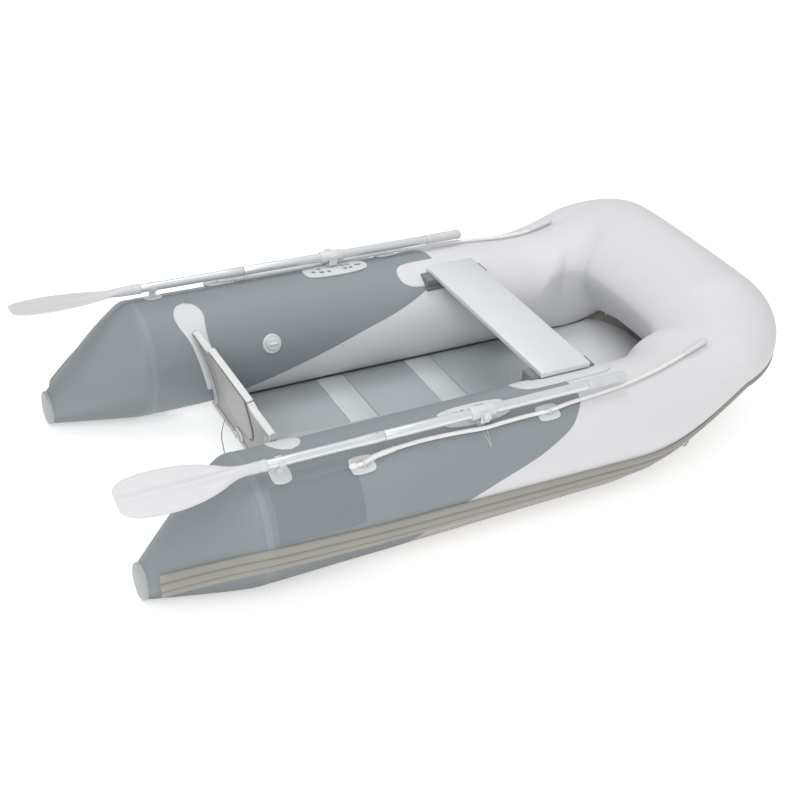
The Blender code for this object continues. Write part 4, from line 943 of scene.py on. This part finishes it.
for side, tag in SIDES:
    y = side * OAR_Y
    ob = "oar_" + tag
    rows = [blade_ring(x, w, h, side) for x, w, h in spline(BLADE, 6)]
    put(grid("blade_" + tag, rows, True, True, None, 55), ob, "blade", "oar_plastic", "oar_blade_" + tag)
    # socket of the blade round the shaft end
    put(lathe("blade_socket_" + tag, [(0.0142, 0), (0.0165, 0), (0.0168, 0.004), (0.0160, 0.006), (0.0160, 0.020),
                                      (0.0172, 0.022), (0.0172, 0.030), (0.0150, 0.034), (0.0142, 0.034)],
              (-0.8365 + BX, y, OAR_Z), (1, 0, 0), 40, 40, True), ob, "fitting", "oar_plastic")
    L = -0.448 + 0.836
    put(lathe("shaft_aft_" + tag, [(0.004, 0), (0.0138, 0), (0.0140, 0.0006), (0.0140, L * 0.3), (0.0140, L * 0.6),
                                   (0.0140, L - 0.090), (0.0146, L - 0.075), (0.0152, L - 0.060), (0.0156, L - 0.045),
                                   (0.0156, L - 0.0010), (0.0152, L), (0.004, L)],
              (-0.836 + BX, y, OAR_Z), (1, 0, 0), 48, 30), ob, "shaft", "shaft_metal", "oar_shaft_lower_" + tag)
    L = 0.259 + 0.448 - 0.0012
    put(lathe("shaft_forward_" + tag, [(0.004, 0), (0.0150, 0), (0.0155, 0.0010), (0.0155, L * 0.25), (0.0155, L * 0.5),
                                       (0.0155, L * 0.75), (0.0155, L - 0.0006), (0.004, L)],
              (-0.448 + 0.0006 + BX, y, OAR_Z), (1, 0, 0), 48, 30), ob, "shaft", "shaft_metal", "oar_shaft_upper_" + tag)
    # push button of the two-piece shaft and the dark joint line
    put(lathe("joint_button_" + tag, [(0.0030, -0.002), (0.0030, 0.0010), (0.0024, 0.0017), (0, 0.0019)],
              (-0.470 + BX, y, OAR_Z + 0.0156), (0, 0, 1), 20), ob, "ring", "shaft_metal")
    put(lathe("joint_ring_" + tag, [(0.0150, -0.0007), (0.0158, -0.0007), (0.0158, 0.0011), (0.0150, 0.0011)],
              (-0.448 + BX, y, OAR_Z), (1, 0, 0), 40, 30, True), ob, "edge", "rail_plastic")
    G = 0.4026 - 0.259
    prof = [(0.004, 0), (0.0162, 0), (0.0172, 0.0015), (0.0175, 0.004)] + ring_ridge(0.01655, 0.0172, 0.012, G - 0.018, 9) + \
           [(0.0175, G - 0.010), (0.0174, G - 0.006), (0.0164, G - 0.002), (0.0140, G - 0.0002), (0.006, G), (0, G)]
    put(lathe("grip_" + tag, prof, (0.259 + BX, y, OAR_Z), (1, 0, 0), 40, 40), ob, "grip", "grip_plastic", "oar_grip_" + tag)
    put(refined("oar_collar_" + tag, "collar_" + tag, 0.0010, 2, 34), ob, "fitting", "fitting_plastic", "oar_collar_" + tag)
    put(refined("rowlock_yoke_" + tag, "yoke_" + tag, 0.0009, 2, 34), "rowlock_" + tag, "fitting", "fitting_plastic",
        "rowlock_yoke_" + tag)
    # leaf base with moulded windows
    cuts = []
    for x0, x1, v0, v1 in ((-0.211, -0.196, -0.006, 0.010), (-0.184, -0.168, 0.004, 0.020), (-0.184, -0.168, -0.022, -0.006),
                           (-0.156, -0.144, 0.006, 0.022), (-0.093, -0.079, 0.005, 0.019), (-0.093, -0.079, -0.020, -0.006),
                           (-0.072, -0.058, 0.005, 0.019), (-0.072, -0.058, -0.020, -0.006), (-0.046, -0.020, -0.007, 0.007)):
        yc = 0.4555
        cuts.append(block("w", (x0 + BX, side * (yc - v1), 0.3), (x1 + BX, side * (yc - v0), 0.45)))
    put(refined("rowlock_base_" + tag, "rowlock_leaf_" + tag, 0.0010, 2, 30, cuts), "hull", "fitting", "fitting_plastic",
        "rowlock_base_" + tag)
    put(refined("oar_clip_" + tag, "clip_" + tag, 0.0008, 2, 34), "hull", "fitting", "fitting_plastic", "oar_clip_" + tag)
    # clear retaining line at the rowlock's outer edge
    top_a, top_b = skin(-0.126, D2R(70), 0.0055, side), skin(-0.112, D2R(70), 0.0055, side)
    v = line([top_a, skin(-0.1245, D2R(62), 0.0022, side), skin(-0.1215, D2R(54), 0.0012, side),
              skin(-0.1190, D2R(48.5), 0.0010, side), skin(-0.1165, D2R(54), 0.0012, side),
              skin(-0.1135, D2R(62), 0.0022, side), top_b], 8)
    pts, length = resample(v, 0.002)
    loop = put(tube("pin_line_" + tag, pts, 0.0007, 8), "hull", "clear", "fitting_plastic")

# ------------------------------------------------------------------ lifeline fittings
for side, tag in SIDES:
    pts = rope_lines[tag]
    d = (skin(0.784, D2R(88.0), 0.0150, side) - pts[-1]).normalized()
    prof = [(0.004, 0), (0.0072, 0), (0.0080, 0.004), (0.0085, 0.012), (0.0080, 0.018), (0.0090, 0.026), (0.0086, 0.034),
            (0.0092, 0.044), (0.0088, 0.052), (0.0096, 0.062), (0.0105, 0.074), (0.0104, 0.080), (0.0092, 0.086),
            (0.0070, 0.0905), (0.0035, 0.092), (0, 0.092)]
    put(lathe("sleeve_" + tag, prof, pts[-1] + d * 0.0016, d, 32, 60), "hull", "patch", "patch_fabric",
        "lifeline_sleeve_" + tag)
    base = pts[-1] + d * 0.05
    put(sheet_on("sleeve_tab_" + tag, side, leaf(0.690, 0.795, 87.0, 7.0, 0.5), 0.0002, 0.0016, 20, 10), "hull", "light",
        "light_fabric")
    for name, s, phi in (("aft", -0.527, 62.0), ("mid", 0.110, 66.0)):
        put(refined("lifeline_eye_%s_%s" % (name, tag), "eye_%s_%s" % (name, tag), 0.0007, 2, 34), "hull", "fitting",
            "fitting_plastic", "lifeline_eye_%s_%s" % (name, tag))
        # oval frame moulded on the plate
        ov = [skin(s + 0.024 * math.cos(a), D2R(phi) + 0.075 * math.sin(a), 0.0036, side) for a in
              [2 * math.pi * k / 40 for k in range(40)]]
        put(tube("eye_frame_%s_%s" % (name, tag), ov, lambda d, a: 0.0021 + 0.0002 * math.cos(2 * a), 10, False, True), "hull",
            "fitting", "fitting_plastic")
    # wrapped rope end next to the aft eye
    seg = [p for p in pts if -0.507 + BX < p.x < -0.415 + BX]
    put(tube("rope_wrap_" + tag, seg, lambda d, a: 0.0078 + 0.0014 * math.sin(2 * math.pi * d / 0.0105 + a), 20), "hull",
        "rope", "rope_fibre")
    kp = pts[0]
    t0 = (pts[3] - pts[0]).normalized()
    put(lathe("rope_knot_" + tag, [(0.002, -0.012), (0.0066, -0.0100), (0.0094, -0.005), (0.0086, 0.0), (0.0096, 0.005),
                                   (0.0080, 0.0100), (0.0068, 0.0115), (0.002, 0.012)], kp, t0, 28, 60), "hull", "rope",
        "rope_fibre")

# ------------------------------------------------------------------ tow rings
for side, tag in SIDES:
    phi = D2R(-36.0)
    nrm = skin_normal(0.675, phi, side)
    c = skin(0.675, phi, 0.0092, side)
    tan = (skin(0.685, phi, 0, side) - skin(0.665, phi, 0, side)).normalized()
    put(refined("tow_mount_" + tag, "tow_tab_" + tag, 0.0007, 2, 34), "hull", "patch", "patch_fabric", "tow_mount_" + tag)
    out = nrm * 0.55 + Vector((0, 0, -1))
    out = (out - tan * out.dot(tan)).normalized()
    loop = [c - tan * 0.0155, c - tan * 0.006, c + tan * 0.006, c + tan * 0.0155]
    for k in range(19):
        a = math.pi * k / 18
        loop.append(c + out * (0.030 + 0.0165 * math.sin(a)) + tan * (0.0165 * math.cos(a)))
    put(tube("d_ring_" + tag, loop, lambda d, a: 0.0029 + 0.00005 * math.cos(3 * a), 16, False, True), "ring_" + tag, "ring",
        "ring_steel", "tow_ring_" + tag)

# ------------------------------------------------------------------ valves
for side, tag in SIDES:
    ph = D2R(157.5)
    o, nrm = skin(-0.439, ph, 0.0, side), skin_normal(-0.439, ph, side)
    put(lathe("valve_ring_" + tag, [(0.0305, -0.004), (0.0330, -0.004), (0.0330, 0.0012), (0.0318, 0.0036), (0.0300, 0.0048),
                                    (0.0262, 0.0048), (0.0252, 0.0040), (0.0240, 0.0040), (0.0236, 0.0048), (0.004, 0.0048),
                                    (0, 0.0048)], o, nrm, 56, 34), "hull", "valve", "valve_plastic", "valve_body_" + tag)
    put(refined("valve_cap_" + tag, "valve_lid_" + tag, 0.0008, 2, 34), "valve_lid_" + tag, "valve", "valve_plastic",
        "valve_cap_" + tag)

# ------------------------------------------------------------------ floor, light
me = bpy.data.meshes.new("ground")
me.from_pydata([(-30, -30, -0.0006), (30, -30, -0.0006), (30, 30, -0.0006), (-30, 30, -0.0006)], [], [(0, 1, 2, 3)])
ground = bpy.data.objects.new("ground", me)
bpy.context.scene.collection.objects.link(ground)
gm = material("m_ground", (0.90, 0.90, 0.90), 0.9, vary=0.006, scale=1.2, grain=60, bump=0.02, spec=0.1)
gp = gm.node_tree.nodes["Principled BSDF"]
gp.inputs["Emission Color"].default_value = (1, 1, 1, 1)
gp.inputs["Emission Strength"].default_value = 0.40
ground.data.materials.append(gm)

world = bpy.data.worlds.new("studio")
world.use_nodes = True
world.node_tree.nodes["Background"].inputs["Color"].default_value = (1, 1, 1, 1)
world.node_tree.nodes["Background"].inputs["Strength"].default_value = 0.62
bpy.context.scene.world = world


def area_light(name, loc, aim, size, power, spread=180.0):
    ld = bpy.data.lights.new(name, 'AREA')
    ld.shape, ld.size, ld.energy, ld.spread = 'DISK', size, power, D2R(spread)
    lo = bpy.data.objects.new(name, ld)
    bpy.context.scene.collection.objects.link(lo)
    z = (Vector(loc) - Vector(aim)).normalized()
    x, y_, _ = basis(z, (0, 1, 0))
    mm = Matrix((x, y_, z)).transposed().to_4x4()
    mm.translation = Vector(loc)
    lo.matrix_world = mm


area_light("key", (-2.4, -3.8, 4.4), (0.1, 0, 0.2), 4.2, 132)
area_light("top", (-0.3, 1.3, 5.2), (0.1, 0, 0.2), 2.2, 72)
area_light("fill", (-1.0, -0.5, 2.1), (0.30, 0.28, 0.15), 1.2, 0.8, 40.0)
bpy.context.scene.view_settings.view_transform = 'Standard'
bpy.context.scene.view_settings.look = 'None'
